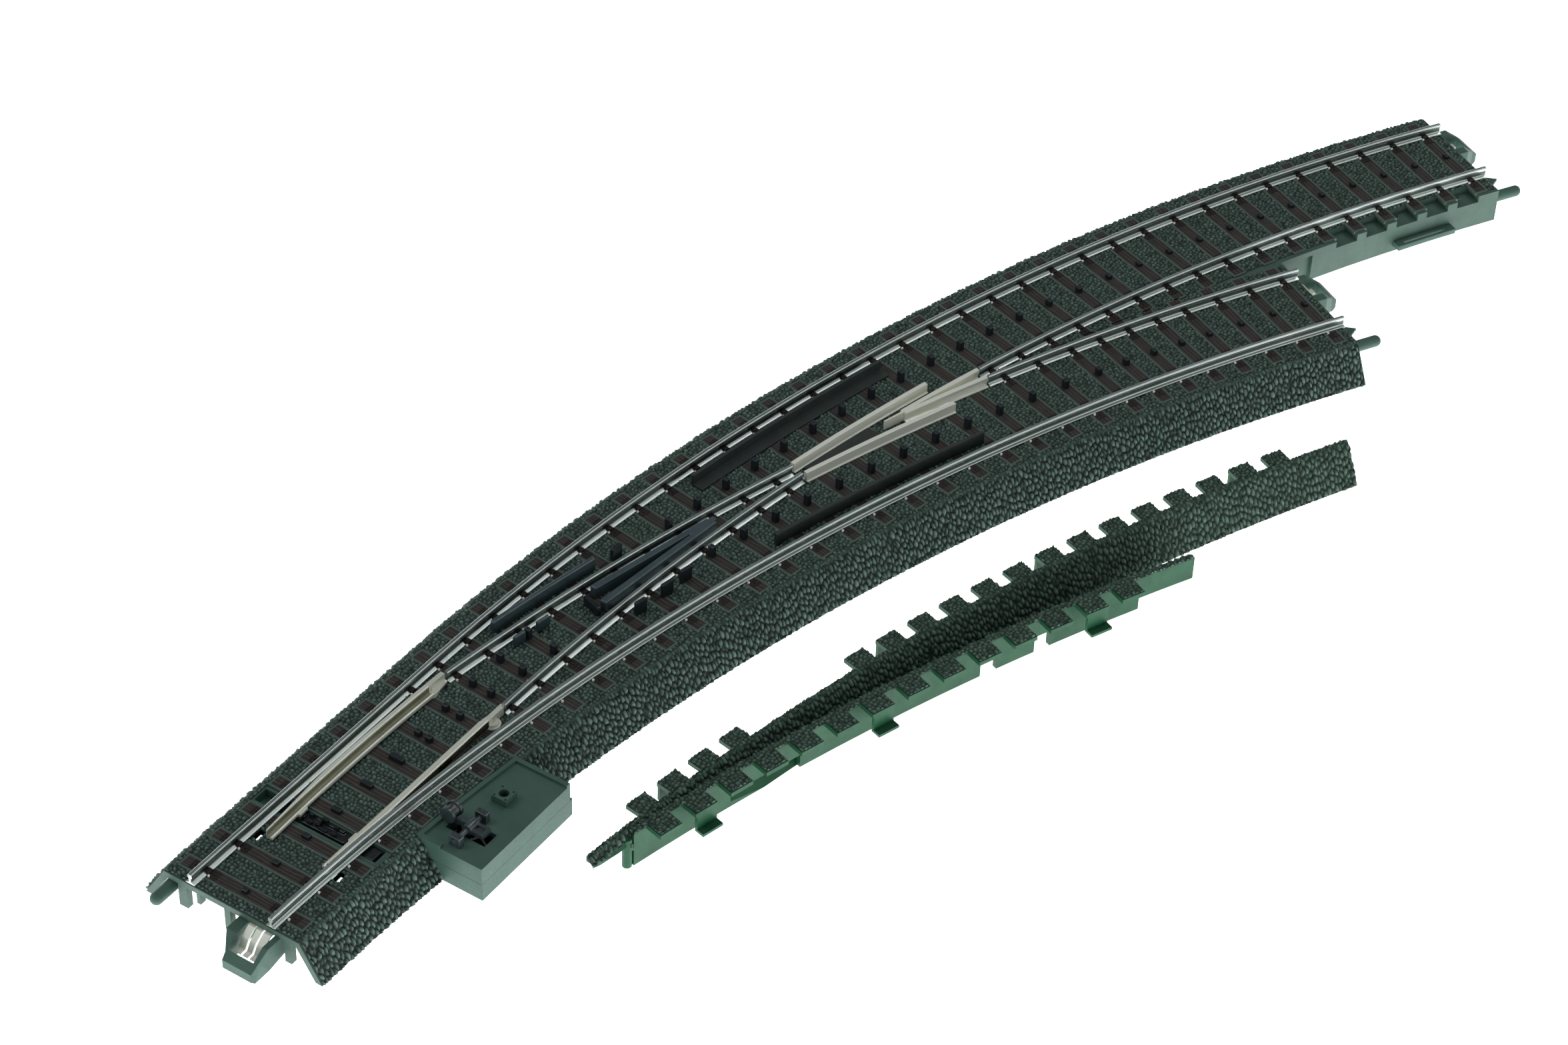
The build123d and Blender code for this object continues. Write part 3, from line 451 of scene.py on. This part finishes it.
def tie_lines():
    """Plan line of every sleeper: (family, number, far end, near end)."""
    lines = []
    for k in range(24):
        far = outer_point((k + 0.5) * OUTER_PITCH, TIE_HALF)
        lines.append(("long", k, far, inner_point((k + 0.5) * INNER_PITCH, -TIE_HALF)))
    for k in range(24, 42):
        s = (k + 0.5) * OUTER_PITCH
        reach = min(TIE_HALF, separation(s) / 2 - 0.05)
        lines.append(("outer", k, outer_point(s, TIE_HALF), outer_point(s, -reach)))
    for k, (far_s, near_s) in enumerate(inner_tie_ends()):
        reach = min(TIE_HALF, separation(near_s + 4) / 2 - 0.05)
        lines.append(("inner", 24 + k, inner_point(far_s, reach), inner_point(near_s, -TIE_HALF)))
    return lines


TIES = tie_lines()
RAILS = {
    "far_stock_rail": ("outer", RAIL_OFF, 0.0, OUTER_LEN),
    "near_stock_rail": ("inner", -RAIL_OFF, 0.0, INNER_LEN),
    "far_closure_rail": ("inner", RAIL_OFF, 64.1, 148.8),
    "near_closure_rail": ("outer", -RAIL_OFF, 64.2, 150.4),
    "outer_branch_rail": ("outer", -RAIL_OFF, 199.6, OUTER_LEN),
    "inner_branch_rail": ("inner", RAIL_OFF, 196.2, INNER_LEN),
}


def tie_axes(far, near):
    along = (near - far) / np.linalg.norm(near - far)
    return along, np.array([-along[1], along[0]])


def tie_corner(tie, end, side):
    """Corner of a sleeper's moulded frame; side is +1 towards the joints."""
    family, _, far, near = tie
    along, across = tie_axes(far, near)
    rim = across * side * (TIE_WIDTH / 2 + TIE_RIM)
    open_end = family == "long" or (family, end) in (("outer", "far"), ("inner", "near"))
    reach = EDGE_START - TIE_HALF if open_end else 0.0
    return (far - along * reach if end == "far" else near + along * reach) + rim


def rail_seats(tie):
    """(plan point, rail name, clear distance to the nearest other rail) on a sleeper."""
    far, near = tie[2:]
    seats = []
    for name, (route, off, start, end) in RAILS.items():
        spot = crossing(far, near, route, off)
        s, real_off = route_spot(route, spot)
        if abs(real_off - off) < 0.05 and start + 0.9 < s < end - 0.3:
            seats.append([spot, name])
    for seat in seats:
        others = [np.linalg.norm(seat[0] - o[0]) for o in seats if o is not seat]
        seat.append(min(others, default=99.0))
    return seats


# ---- materials ----------------------------------------------------------------
def shader(name, **sockets):
    """A Principled material; returns (material, tree, principled node)."""
    material = bpy.data.materials.new(name)
    material.use_nodes = True
    tree = material.node_tree
    principled = tree.nodes["Principled BSDF"]
    for socket, value in sockets.items():
        principled.inputs[socket.replace("_", " ")].default_value = value
    return material, tree, principled


def node(tree, kind, inputs=(), **props):
    made = tree.nodes.new("ShaderNode" + kind)
    for key, value in props.items():
        setattr(made, key, value)
    for socket, value in dict(inputs).items():
        if isinstance(value, bpy.types.NodeSocket):
            tree.links.new(value, made.inputs[socket])
        else:
            made.inputs[socket].default_value = value
    return made


def noise(tree, scale, detail=3.0):
    coords = node(tree, "TexCoord").outputs["Object"]
    return node(tree, "TexNoise", {"Vector": coords, "Scale": scale, "Detail": detail,
                                   "Roughness": 0.55}).outputs["Fac"]


def ramp(tree, fac, stops):
    made = node(tree, "ValToRGB", {"Fac": fac})
    elements = made.color_ramp.elements
    while len(elements) < len(stops):
        elements.new(0.5)
    for element, (place, colour) in zip(elements, stops):
        element.position = place
        element.color = (*colour, 1.0)
    return made.outputs["Color"]


def spread(tree, fac, low, high):
    made = node(tree, "MapRange", {"Value": fac, "From Min": 0.3, "From Max": 0.7,
                                   "To Min": low, "To Max": high})
    return made.outputs["Result"]


def bump(tree, principled, height, strength, distance):
    made = node(tree, "Bump", {"Height": height, "Strength": strength, "Distance": distance})
    tree.links.new(made.outputs["Normal"], principled.inputs["Normal"])


def link(tree, output, principled, socket):
    tree.links.new(output, principled.inputs[socket])


def stone_material(name, groove, face, crown_highlight):
    """Matt moulded stones: painted shade darkens the grooves and a painted highlight makes the crowns paler,
    a little varied.
    """
    material, tree, principled = shader(name, Roughness=0.62, Specular_IOR_Level=0.35)
    relief = node(tree, "Attribute", attribute_name="relief").outputs["Fac"]
    drift = spread(tree, noise(tree, 900.0), -0.16, 0.16)
    varied = node(tree, "Math", {0: relief, 1: drift}, operation="ADD")
    # painted shade and highlight: the stones' relief picks a dark colour in the grooves and a pale colour on
    # the crowns
    colour = ramp(tree, varied.outputs["Value"], [(0.1, groove), (0.5, face), (0.88, crown_highlight)])
    link(tree, colour, principled, "Base Color")
    link(tree, spread(tree, noise(tree, 2500.0), 0.5, 0.72), principled, "Roughness")
    bump(tree, principled, noise(tree, 5200.0, 4.0), 0.5, 0.00006)
    return material


def plastic_material(name, low, high, rough, grain=3500.0, depth=0.00002, specular=0.4):
    """Moulded plastic: fine spark-eroded texture and slight colour drift."""
    material, tree, principled = shader(name, Specular_IOR_Level=specular)
    colour = ramp(tree, noise(tree, 220.0, 5.0), [(0.3, low), (0.7, high)])
    link(tree, colour, principled, "Base Color")
    link(tree, spread(tree, noise(tree, grain * 0.6), rough - 0.08, rough + 0.08), principled, "Roughness")
    bump(tree, principled, noise(tree, grain, 3.0), 0.45, depth)
    return material


def metal_material(name, low, high, rough, metallic=1.0):
    """Nickel, zinc or spring sheet with a satin gloss; tone and gloss drift faintly."""
    material, tree, principled = shader(name, Metallic=metallic)
    colour = ramp(tree, noise(tree, 120.0, 3.0), [(0.3, low), (0.7, high)])
    link(tree, colour, principled, "Base Color")
    link(tree, spread(tree, noise(tree, 90.0, 2.0), rough - 0.03, rough + 0.03), principled, "Roughness")
    return material


def wood_material():
    """Dark moulded sleeper with thin pale wavy grain lines along its length."""
    material, tree, principled = shader("sleeper_wood", Roughness=0.6, Specular_IOR_Level=0.3)
    grain = node(tree, "Attribute", attribute_name="grain").outputs["Vector"]
    stretched = node(tree, "Mapping", {"Vector": grain, "Scale": (0.22, 1.0, 1.0)}).outputs["Vector"]
    wave = node(tree, "TexWave", {"Vector": stretched, "Scale": 0.44, "Distortion": 4.5, "Detail": 2.0,
                                  "Detail Scale": 1.2}, bands_direction="Y", wave_profile="SIN")
    lines = ramp(tree, wave.outputs["Fac"], [(0.86, (0, 0, 0)), (0.96, (1, 1, 1))])
    drift = ramp(tree, noise(tree, 700.0, 4.0), [(0.3, (0.024, 0.021, 0.018)), (0.7, (0.042, 0.036, 0.031))])
    mixed = node(tree, "Mix", {"Factor": lines, 6: drift, 7: (0.085, 0.078, 0.068, 1.0)}, data_type="RGBA")
    link(tree, mixed.outputs[2], principled, "Base Color")
    bump(tree, principled, lines, 0.5, 0.00004)
    return material


# the stone colours carry painted shade in the grooves and a painted highlight on the crowns
STONE = stone_material("roadbed_stone_painted_shade", (0.005, 0.011, 0.009), (0.044, 0.078, 0.065),
                       (0.130, 0.200, 0.170))
INFILL_STONE = stone_material("infill_stone_painted_shade", (0.006, 0.015, 0.011), (0.040, 0.080, 0.059),
                              (0.110, 0.180, 0.138))
BED = plastic_material("roadbed_plastic", (0.055, 0.103, 0.082), (0.070, 0.126, 0.102), 0.55)
RIM = plastic_material("sleeper_rim", (0.080, 0.120, 0.105), (0.100, 0.145, 0.127), 0.5)
HOUSING = plastic_material("housing_plastic", (0.050, 0.106, 0.083), (0.064, 0.130, 0.104), 0.58,
                           grain=4200.0, depth=0.00003)
INFILL = plastic_material("infill_plastic", (0.008, 0.062, 0.028), (0.018, 0.098, 0.046), 0.42, specular=0.2)
WOOD = wood_material()
CHAIR = plastic_material("chair_plastic", (0.012, 0.010, 0.009), (0.030, 0.023, 0.019), 0.5)
RAIL = metal_material("rail_nickel", (0.60, 0.66, 0.64), (0.70, 0.75, 0.73), 0.31)
BLADE = metal_material("blade_nickel", (0.86, 0.87, 0.75), (0.94, 0.95, 0.84), 0.28, 0.4)
FROG = metal_material("frog_nickel", (0.93, 0.93, 0.82), (0.97, 0.97, 0.88), 0.36, 0.2)
SHEET = metal_material("spring_sheet", (0.86, 0.86, 0.76), (0.93, 0.93, 0.84), 0.4, 0.25)
# painted light: near-white pin heads that stand for small bright spots of light beside the rails
PIP_LIGHT = metal_material("pin_head_light_spot", (0.95, 0.95, 0.92), (0.97, 0.97, 0.95), 0.3, 0.3)
SCREW = metal_material("screw_zinc", (0.50, 0.51, 0.50), (0.62, 0.62, 0.60), 0.35)
STUD = plastic_material("stud_black", (0.008, 0.012, 0.016), (0.016, 0.022, 0.028), 0.38, specular=0.5)
GUIDE_DARK = plastic_material("guide_dark", (0.022, 0.030, 0.029), (0.034, 0.044, 0.042), 0.5)
GUIDE_BLUE = plastic_material("guide_blue", (0.034, 0.058, 0.068), (0.052, 0.084, 0.098), 0.4, specular=0.7)
BLACK = plastic_material("lever_black", (0.006, 0.009, 0.012), (0.014, 0.018, 0.022), 0.32, specular=0.55)
LEVER = plastic_material("lever_satin", (0.028, 0.040, 0.044), (0.046, 0.062, 0.068), 0.3, specular=0.9)
# painted shade: dark metal for the linings that darken the rail webs under the heads
WEB_SHADE = metal_material("rail_web_shade", (0.13, 0.15, 0.14), (0.21, 0.24, 0.22), 0.4)
# painted shade: dark olive metal for the linings that darken the blade grooves
GROOVE_SHADE = metal_material("blade_groove_shade", (0.16, 0.16, 0.11), (0.26, 0.26, 0.19), 0.35)


# ---- roadbed -------------------------------------------------------------------
def make_bays():
    """Stones between the sleepers."""
    families = {name: [t for t in TIES if t[0] == name] for name in ("long", "outer", "inner")}
    long_ties = families["long"]
    start_far, start_near = outer_point(BAY_END_GAP, EDGE_START), inner_point(BAY_END_GAP, -EDGE_START)
    bays = [("long", -1, start_near, start_far, tie_corner(long_ties[0], "near", -1),
             tie_corner(long_ties[0], "far", -1))]
    for name, ties in families.items():
        for a, b in zip(ties, ties[1:]):
            bays.append((name, a[1], tie_corner(a, "near", 1), tie_corner(a, "far", 1),
                         tie_corner(b, "near", -1), tie_corner(b, "far", -1)))
    last = long_ties[-1]
    near_mid = families["outer"][0]
    split = route_spot("outer", near_mid[3])[1]
    _, across = tie_axes(last[2], last[3])
    middle = crossing(last[2], last[3], "outer", split) + across * (TIE_WIDTH / 2 + 0.02)
    first = families["inner"][0]
    bays.append(("outer", 23, middle, tie_corner(last, "far", 1), tie_corner(near_mid, "near", -1),
                 tie_corner(near_mid, "far", -1)))
    bays.append(("inner", 23, tie_corner(last, "near", 1), middle, tie_corner(first, "near", -1),
                 tie_corner(first, "far", -1)))
    for name, length in (("outer", OUTER_LEN), ("inner", INNER_LEN)):
        end, s = families[name][-1], length - BAY_END_GAP
        bays.append((name, end[1], tie_corner(end, "near", 1), tie_corner(end, "far", 1),
                     POINT[name](s, -EDGE_START), POINT[name](s, EDGE_START)))
    return bays


def lerp(a, b, t):
    return a + (b - a) * t


def make_roadbed():
    pieces = {name: Piece() for name in ("entry", "middle", "branches")}
    for family, k, a0, b0, a1, b1 in make_bays():
        if family == "long" and k == BAR_BAY:
            continue
        target = pieces["branches" if family != "long" else "entry" if k < 12 else "middle"]
        if family == "long" and k == HOLE_BAY:
            x0, x1 = (a0[0] + b0[0]) / 2, (a1[0] + b1[0]) / 2
            spans = ((a0[1], NEAR_HOLE_Y[0]), (NEAR_HOLE_Y[1], FAR_HOLE_Y[0]), (FAR_HOLE_Y[1], b0[1]))
            slabs = [(*span, x0, x1) for span in spans]
            for hole in (NEAR_HOLE_Y, FAR_HOLE_Y):
                slabs += [(*hole, x0, HOLE_X[0]), (*hole, HOLE_X[1], x1)]
            for v0, v1, u0, u1 in slabs:
                target.add(*crest_patch(bay_grid((u0, v0), (u0, v1), (u1, v0), (u1, v1))))
            continue
        if family == "outer" and k in CUT_BAYS:
            share = (TIE_HALF - CUT_OFF) / np.linalg.norm(b0 - a0)
            a0, a1 = lerp(a0, b0, share), lerp(a1, b1, share)
        target.add(*crest_patch(bay_grid(a0, b0, a1, b1)))
    for name, piece in pieces.items():
        piece.make_stones("ballast_bays_" + name, "turnout_bed", STONE)
    near_edge = Piece()
    near_edge.add(*edge_strip("inner", -1, EDGE_END_GAP, HOUSING_SPAN[0], FINE_STEP))
    near_edge.add(*edge_strip("inner", -1, HOUSING_SPAN[1], INNER_LEN - EDGE_END_GAP, FINE_STEP))
    near_edge.make_stones("ballast_near_edge", "turnout_bed", STONE)
    far_edge = Piece()
    far_edge.add(*edge_strip("outer", 1, EDGE_END_GAP, OUTER_LEN - EDGE_END_GAP))
    far_edge.make_stones("ballast_far_edge", "turnout_bed", STONE)


def make_sleepers():
    wood, frames, chairs, light_pips = Piece(), Piece(), Piece(), Piece()
    chance = np.random.default_rng(21)
    for tie in TIES:
        far, near = tie[2:]
        along, across = tie_axes(far, near)
        middle, half = (far + near) / 2, np.linalg.norm(near - far) / 2
        points, faces = eased_box(middle, along, across, half - 0.05, TIE_WIDTH / 2 - 0.06,
                                  BED_TOP - TIE_SINK, TIE_TOP, 0.05)
        seed = chance.random() * 60
        local = [((p[0] - middle[0]) * along[0] + (p[1] - middle[1]) * along[1] + seed,
                  (p[0] - middle[0]) * across[0] + (p[1] - middle[1]) * across[1], seed) for p in points]
        wood.add(points, faces, local)
        frames.add(*eased_box(middle, along, across, half + TIE_RIM, TIE_WIDTH / 2 + TIE_RIM + 0.02,
                              BED_TOP - TIE_SINK, TIE_TOP - 0.04, 0.05))
        for spot, name, clear in rail_seats(tie):
            add_chairs(chairs, light_pips, spot, along, across, name, clear)
    wood.make("sleeper_set", "turnout_bed", WOOD, "sleeper", ["sleepers"], "grain")
    frames.make("sleeper_frames", "turnout_bed", RIM, "ballast")
    chairs.make("rail_chairs", "turnout_bed", CHAIR, "sleeper")
    light_pips.make("chair_light_pips", "turnout_bed", PIP_LIGHT, "contact_metal", smooth=60)


def add_chairs(chairs, light_pips, spot, along, across, name, clear):
    """Base plate, clip, bolt and pin head on each side of a rail, where there is room; the pale pin heads are
    painted light, standing for small bright spots at the chairs.
    """
    base, plate_face = TIE_TOP - 0.1, 7.9
    for side in (-1, 1):
        direction = along * side
        room = clear / 2
        if BLADE_TIP < spot[0] < BLADE_HEEL and side == (1 if name == "far_stock_rail" else -1):
            continue
        if room > 1.3 and (name, side) != ("near_stock_rail", 1):
            clip = spot + direction * 0.82
            chairs.add(*eased_box(clip, direction, across, 0.48, 0.62, base, 8.42, 0.12))
        if room > 3.0:
            plate = spot + direction * 2.0
            chairs.add(*eased_box(plate, direction, across, 0.95, 0.98, base, 7.97, 0.04))
            for reach, half, top, ease in ((1.62, 0.11, 8.1, 0.04), (2.72, 0.08, 8.06, 0.03)):
                rib = spot + direction * reach
                chairs.add(*eased_box(rib, direction, across, half, 0.8, plate_face, top, ease))
            for hand in (-1, 1):
                middle = spot + direction * 2.15 + across * hand * 0.72
                chairs.add(*eased_box(middle, direction, across, 0.6, 0.07, plate_face, 8.06, 0.03))
            bolt = spot + direction * 2.15
            chairs.add(*turned(bolt, [(0.26, plate_face), (0.26, 8.12), (0.16, 8.2)], 6))
        if room > 1.6:
            # painted light: a pale pin head where a small bright spot of light shows by the rail foot
            light_pip = spot + direction * 1.42 - across * 0.85
            light_pips.add(*turned(light_pip, [(0.27, 7.8), (0.27, 8.1), (0.2, 8.24), (0.07, 8.3)], 12))


# ---- rails -----------------------------------------------------------------------
def rail_profile(off, level_foot):
    """Foot, web and head; a level foot on the near side stays darker than a sloping one."""
    foot = [(1.0, 7.85), (1.0, 7.9), (0.96, 7.96), (0.9, 7.98), (0.44, 8.09), (0.36, 8.11)]
    level = [(1.0, 7.85), (1.0, 8.03), (0.96, 8.07), (0.9, 8.08), (0.44, 8.085), (0.36, 8.1)]
    head = [(0.26, 8.22), (0.2, 8.36), (0.2, 8.95), (0.27, 9.1), (0.42, 9.22), (0.47, 9.32), (0.47, 9.38),
            (0.47, 9.7), (0.465, 9.78), (0.43, 9.88), (0.37, 9.95), (0.3, 9.985), (0.26, 9.99), (0.1, 9.99)]
    near_half = (level if level_foot else foot) + head
    return [(off + x, z) for x, z in foot + head] + [(off - x, z) for x, z in reversed(near_half)]


def make_rails():
    """Bright sections, each with a darker lining just proud of its web, as painted shade under the head."""
    half, low, high, inset = 0.235, 8.2, 9.06, 0.02
    web_shades = Piece()
    for name, (route, off, s0, s1) in RAILS.items():
        # painted shade: a dark lining over the web, below the head
        shade_lining = [(off - half, low), (off + half, low), (off + half, high), (off - half, high)]
        web_shades.add(*swept(route, shade_lining, s0 + inset, s1 - inset))
        rail = Piece()
        rail.add(*swept(route, rail_profile(off, name == "near_stock_rail"), s0, s1))
        rail.make(name + "_section", "turnout_bed", RAIL, "rail_metal", [name], smooth=38)
    web_shades.make("rail_web_shades", "turnout_bed", WEB_SHADE, "rail_metal", smooth=38)


# ---- point blades ------------------------------------------------------------------
BLADE_TIP = 15.5
BLADE_HEEL = 59.3
BLADE_PIVOT = 59.8
BLADE_SWING = 3.93
HEAD_HALF = 0.47


def blade_ring(side, s, groove=False):
    """Section of a closed blade: upright head, groove and ridged foot, or the dark lining of its groove,
    which is painted shade.
    """
    tip_face = RAIL_OFF - HEAD_HALF - 0.03
    if side > 0:
        gauge = inner_point(s, RAIL_OFF - HEAD_HALF)
        back = inner_point(s, RAIL_OFF + HEAD_HALF)
        back[1] = min(back[1], tip_face)
    else:
        gauge = np.array([s, -RAIL_OFF + HEAD_HALF])
        stock = -RADIUS + math.sqrt((RADIUS - tip_face) ** 2 - s * s)
        back = np.array([s, max(-RAIL_OFF - HEAD_HALF, stock)])
    width = np.linalg.norm(back - gauge)
    outward = (back - gauge) / width
    edge = min(0.14, width / 3)
    head = [(width, 8.25), (width, 9.86), (width - edge * 0.4, 9.97), (width - edge, 10.02), (edge, 10.02),
            (edge * 0.4, 9.97), (-0.02, 9.86), (-0.02, 9.0)]
    foot = [(-0.1, 8.75), (-0.22, 8.65), (-0.5, 8.65), (-0.62, 8.78), (-0.78, 8.86), (-0.98, 8.86),
            (-1.1, 8.78), (-1.16, 8.64), (-1.16, 8.3)]
    # painted shade: a dark lining laid in the groove between head and foot
    shade_lining = [(0.0, 9.78), (-0.04, 9.78), (-0.04, 9.0), (-0.12, 8.77), (-0.24, 8.68), (-0.5, 8.68),
              (-0.5, 8.5), (0.0, 8.5)]
    return [(*(gauge + outward * reach), z) for reach, z in (shade_lining if groove else head + foot)]


def make_blades():
    """Both blades; the far one is turned open about its heel, as at rest."""
    pivot = inner_point(BLADE_PIVOT, RAIL_OFF)
    turn = math.radians(BLADE_SWING)
    swing = np.array([[math.cos(turn), -math.sin(turn)], [math.sin(turn), math.cos(turn)]])
    for side, name in ((1, "far"), (-1, "near")):
        # the groove part is a dark lining that stands for the shade in the groove
        for part, material in (("ridges", BLADE), ("groove", GROOVE_SHADE)):
            places = np.linspace(BLADE_TIP, BLADE_HEEL, 50)
            rings = [blade_ring(side, s, part == "groove") for s in places]
            if side > 0:
                rings = [[(*(pivot + swing @ (np.array(p[:2]) - pivot)), p[2]) for p in ring]
                         for ring in rings]
            blade = Piece()
            blade.add(*ring_stack(rings))
            blade.make(name + "_blade_" + part, name + "_blade", material, "blade_metal", smooth=50)


BAR_CLIP_FOOT = 7.1
BAR_CLIPS = (                           # x, y, half x, half y, top
    (22.9, -3.6, 0.3, 0.5, 8.5), (22.9, -1.2, 0.3, 0.9, 8.1), (22.9, 1.6, 0.3, 0.5, 8.6),
    (24.7, -2.9, 0.3, 0.4, 8.2), (24.7, -0.4, 0.3, 0.6, 8.6), (24.7, 2.6, 0.3, 0.4, 8.2),
    (23.8, 0.4, 0.5, 0.35, 7.9), (23.8, 3.6, 0.4, 0.3, 7.9),
)


def make_bar_clips():
    """Small black upstands on the throw bar, between the blades."""
    clips = Piece()
    for x, y, half_x, half_y, top in BAR_CLIPS:
        clips.add(*eased_box((x, y), (1, 0), (0, 1), half_x, half_y, BAR_CLIP_FOOT, top, 0.1))
    clips.make("bar_clips", "throw_bar_slider", BLACK, "lever_black")


# ---- carried-over CAD nodes ------------------------------------------------------
def finish_node(name, material, ease):
    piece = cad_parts[name]
    if not piece.data.materials:
        piece.data.materials.append(material)
    for slot in piece.material_slots:
        slot.material = material
    if ease:
        weld = piece.modifiers.new("weld", "WELD")
        weld.merge_threshold = 0.000002
        rounding = piece.modifiers.new("ease", "BEVEL")
        rounding.width = ease * MM
        rounding.segments = 2
        rounding.limit_method = "ANGLE"
        rounding.angle_limit = math.radians(32)


NODE_LOOKS = (                          # material, width of the eased edges, nodes
    (FROG, 0.07, ("far_wing_rail", "near_wing_rail", "frog_casting")),
    (BLADE, 0.07, ("far_point_blade", "near_point_blade")),
    (SHEET, 0.0, ("entry_contacts", "inner_contacts", "outer_contacts", "centre_conductor",
                  "blade_pivots", "over_centre_spring")),
    (SCREW, 0.0, ("housing_screws",)),
    (STUD, 0.12, ("centre_studs",)),
    (STUD, 0.18, ("crossing_studs",)),
    (GUIDE_DARK, 0.08, ("far_check_rail", "near_check_rail", "frog_floor")),
    (GUIDE_BLUE, 0.25, ("vee_guide", "far_guide_bar", "near_guide_plates")),
    (BLACK, 0.12, ("vee_clip", "throw_bar", "setting_slide")),
    (LEVER, 0.12, ("bearing_blocks", "lever_shaft", "hand_lever", "lever_weight")),
    (HOUSING, 0.15, ("lever_housing", "lever_cover", "lantern_socket", "throw_bar_tray", "entry_latch",
                     "inner_latch", "outer_latch", "joint_pegs", "wall_clip")),
    (HOUSING, 0.0, ("housing_base", "rail_prongs")),
    (BED, 0.0, ("roadbed",)),
    (INFILL, 0.0, ("ballast_infill",)),
)


def finish_nodes():
    for material, ease, names in NODE_LOOKS:
        for name in names:
            finish_node(name, material, ease)


# ---- stage -----------------------------------------------------------------------
def make_floor():
    mesh = bpy.data.meshes.new("floor")
    half = 3.0
    corners = [(-half, -half, 0), (half, -half, 0), (half, half, 0), (-half, half, 0)]
    mesh.from_pydata(corners, [], [(0, 1, 2, 3)])
    floor = bpy.data.objects.new("floor", mesh)
    bpy.context.scene.collection.objects.link(floor)
    material = shader("light_table", Roughness=0.8, Base_Color=(0.85, 0.9, 0.89, 1.0),
                      Emission_Color=(0.96, 1.0, 0.99, 1.0), Emission_Strength=2.1)[0]
    mesh.materials.append(material)
    floor.location.z = -0.0004


def make_world():
    """A soft studio: bright low surround, dark band above it, bright ceiling."""
    world = bpy.data.worlds.new("studio")
    bpy.context.scene.world = world
    world.use_nodes = True
    tree = world.node_tree
    direction = node(tree, "TexCoord").outputs["Generated"]
    height = node(tree, "SeparateXYZ", {"Vector": direction}).outputs["Z"]
    sky = ramp(tree, height, [(0.0, (0.95, 1.0, 0.99)), (0.36, (0.8, 0.85, 0.85)), (0.5, (0.07, 0.09, 0.10)),
                              (0.74, (0.07, 0.09, 0.10)), (0.86, (0.85, 0.9, 0.9)), (1.0, (0.95, 1.0, 0.99))])
    background = tree.nodes["Background"]
    tree.links.new(sky, background.inputs["Color"])
    background.inputs["Strength"].default_value = 0.5


def make_light(name, place, target, size, power, width=None, lengthwise=(1, 0, 0)):
    """An area light; with a width it is a strip whose long side follows lengthwise."""
    light = bpy.data.lights.new(name, "AREA")
    light.size = size
    light.energy = power
    if width:
        light.shape = "RECTANGLE"
        light.size_y = width
    holder = bpy.data.objects.new(name, light)
    bpy.context.scene.collection.objects.link(holder)
    back = (Vector(place) - Vector(target)).normalized()
    up = back.cross(Vector(lengthwise)).normalized()
    turn = Matrix((up.cross(back), up, back)).transposed()
    holder.matrix_world = Matrix.Translation(place) @ turn.to_4x4()


def make_camera():
    """Tele lens from the near left, with the object's long side running up to the right."""
    azimuth, elevation, roll = (math.radians(a) for a in (-57.485, 40.175, 2.103))
    target, distance = Vector((134.38, -21.23, RAIL_TOP)) * MM, 0.734107
    back = Vector((math.sin(azimuth) * math.cos(elevation), -math.cos(azimuth) * math.cos(elevation),
                   math.sin(elevation)))
    level = (-back).cross(Vector((0, 0, 1))).normalized()
    rise = level.cross(-back)
    right = math.cos(roll) * level + math.sin(roll) * rise
    up = -math.sin(roll) * level + math.cos(roll) * rise
    camera = bpy.data.objects.new("camera", bpy.data.cameras.new("camera"))
    bpy.context.scene.collection.objects.link(camera)
    camera.data.sensor_width = 36.0
    camera.data.lens = 90.34
    camera.data.clip_start, camera.data.clip_end = 0.05, 20.0
    turn = Matrix((right, up, back)).transposed()
    camera.matrix_world = Matrix.Translation(target + back * distance) @ turn.to_4x4()
    bpy.context.scene.camera = camera


def make_stage():
    make_camera()
    make_floor()
    make_world()
    middle = (0.15, -0.03, 0.0)
    make_light("key", (-0.25, 0.55, 0.85), middle, 0.5, 1.9)
    make_light("fill", (0.25, -0.85, 0.55), middle, 0.6, 0.7)
    # the one direction that the rails mirror towards the camera
    make_light("rail_strip", (0.73, -0.17, 1.04), middle, 0.75, 1.5, 0.22, (0.88, 0.35, -0.44))
    bpy.context.scene.view_settings.view_transform = "Standard"


make_stage()
make_roadbed()
make_sleepers()
make_rails()
make_blades()
make_bar_clips()
make_infill_stones()
finish_nodes()
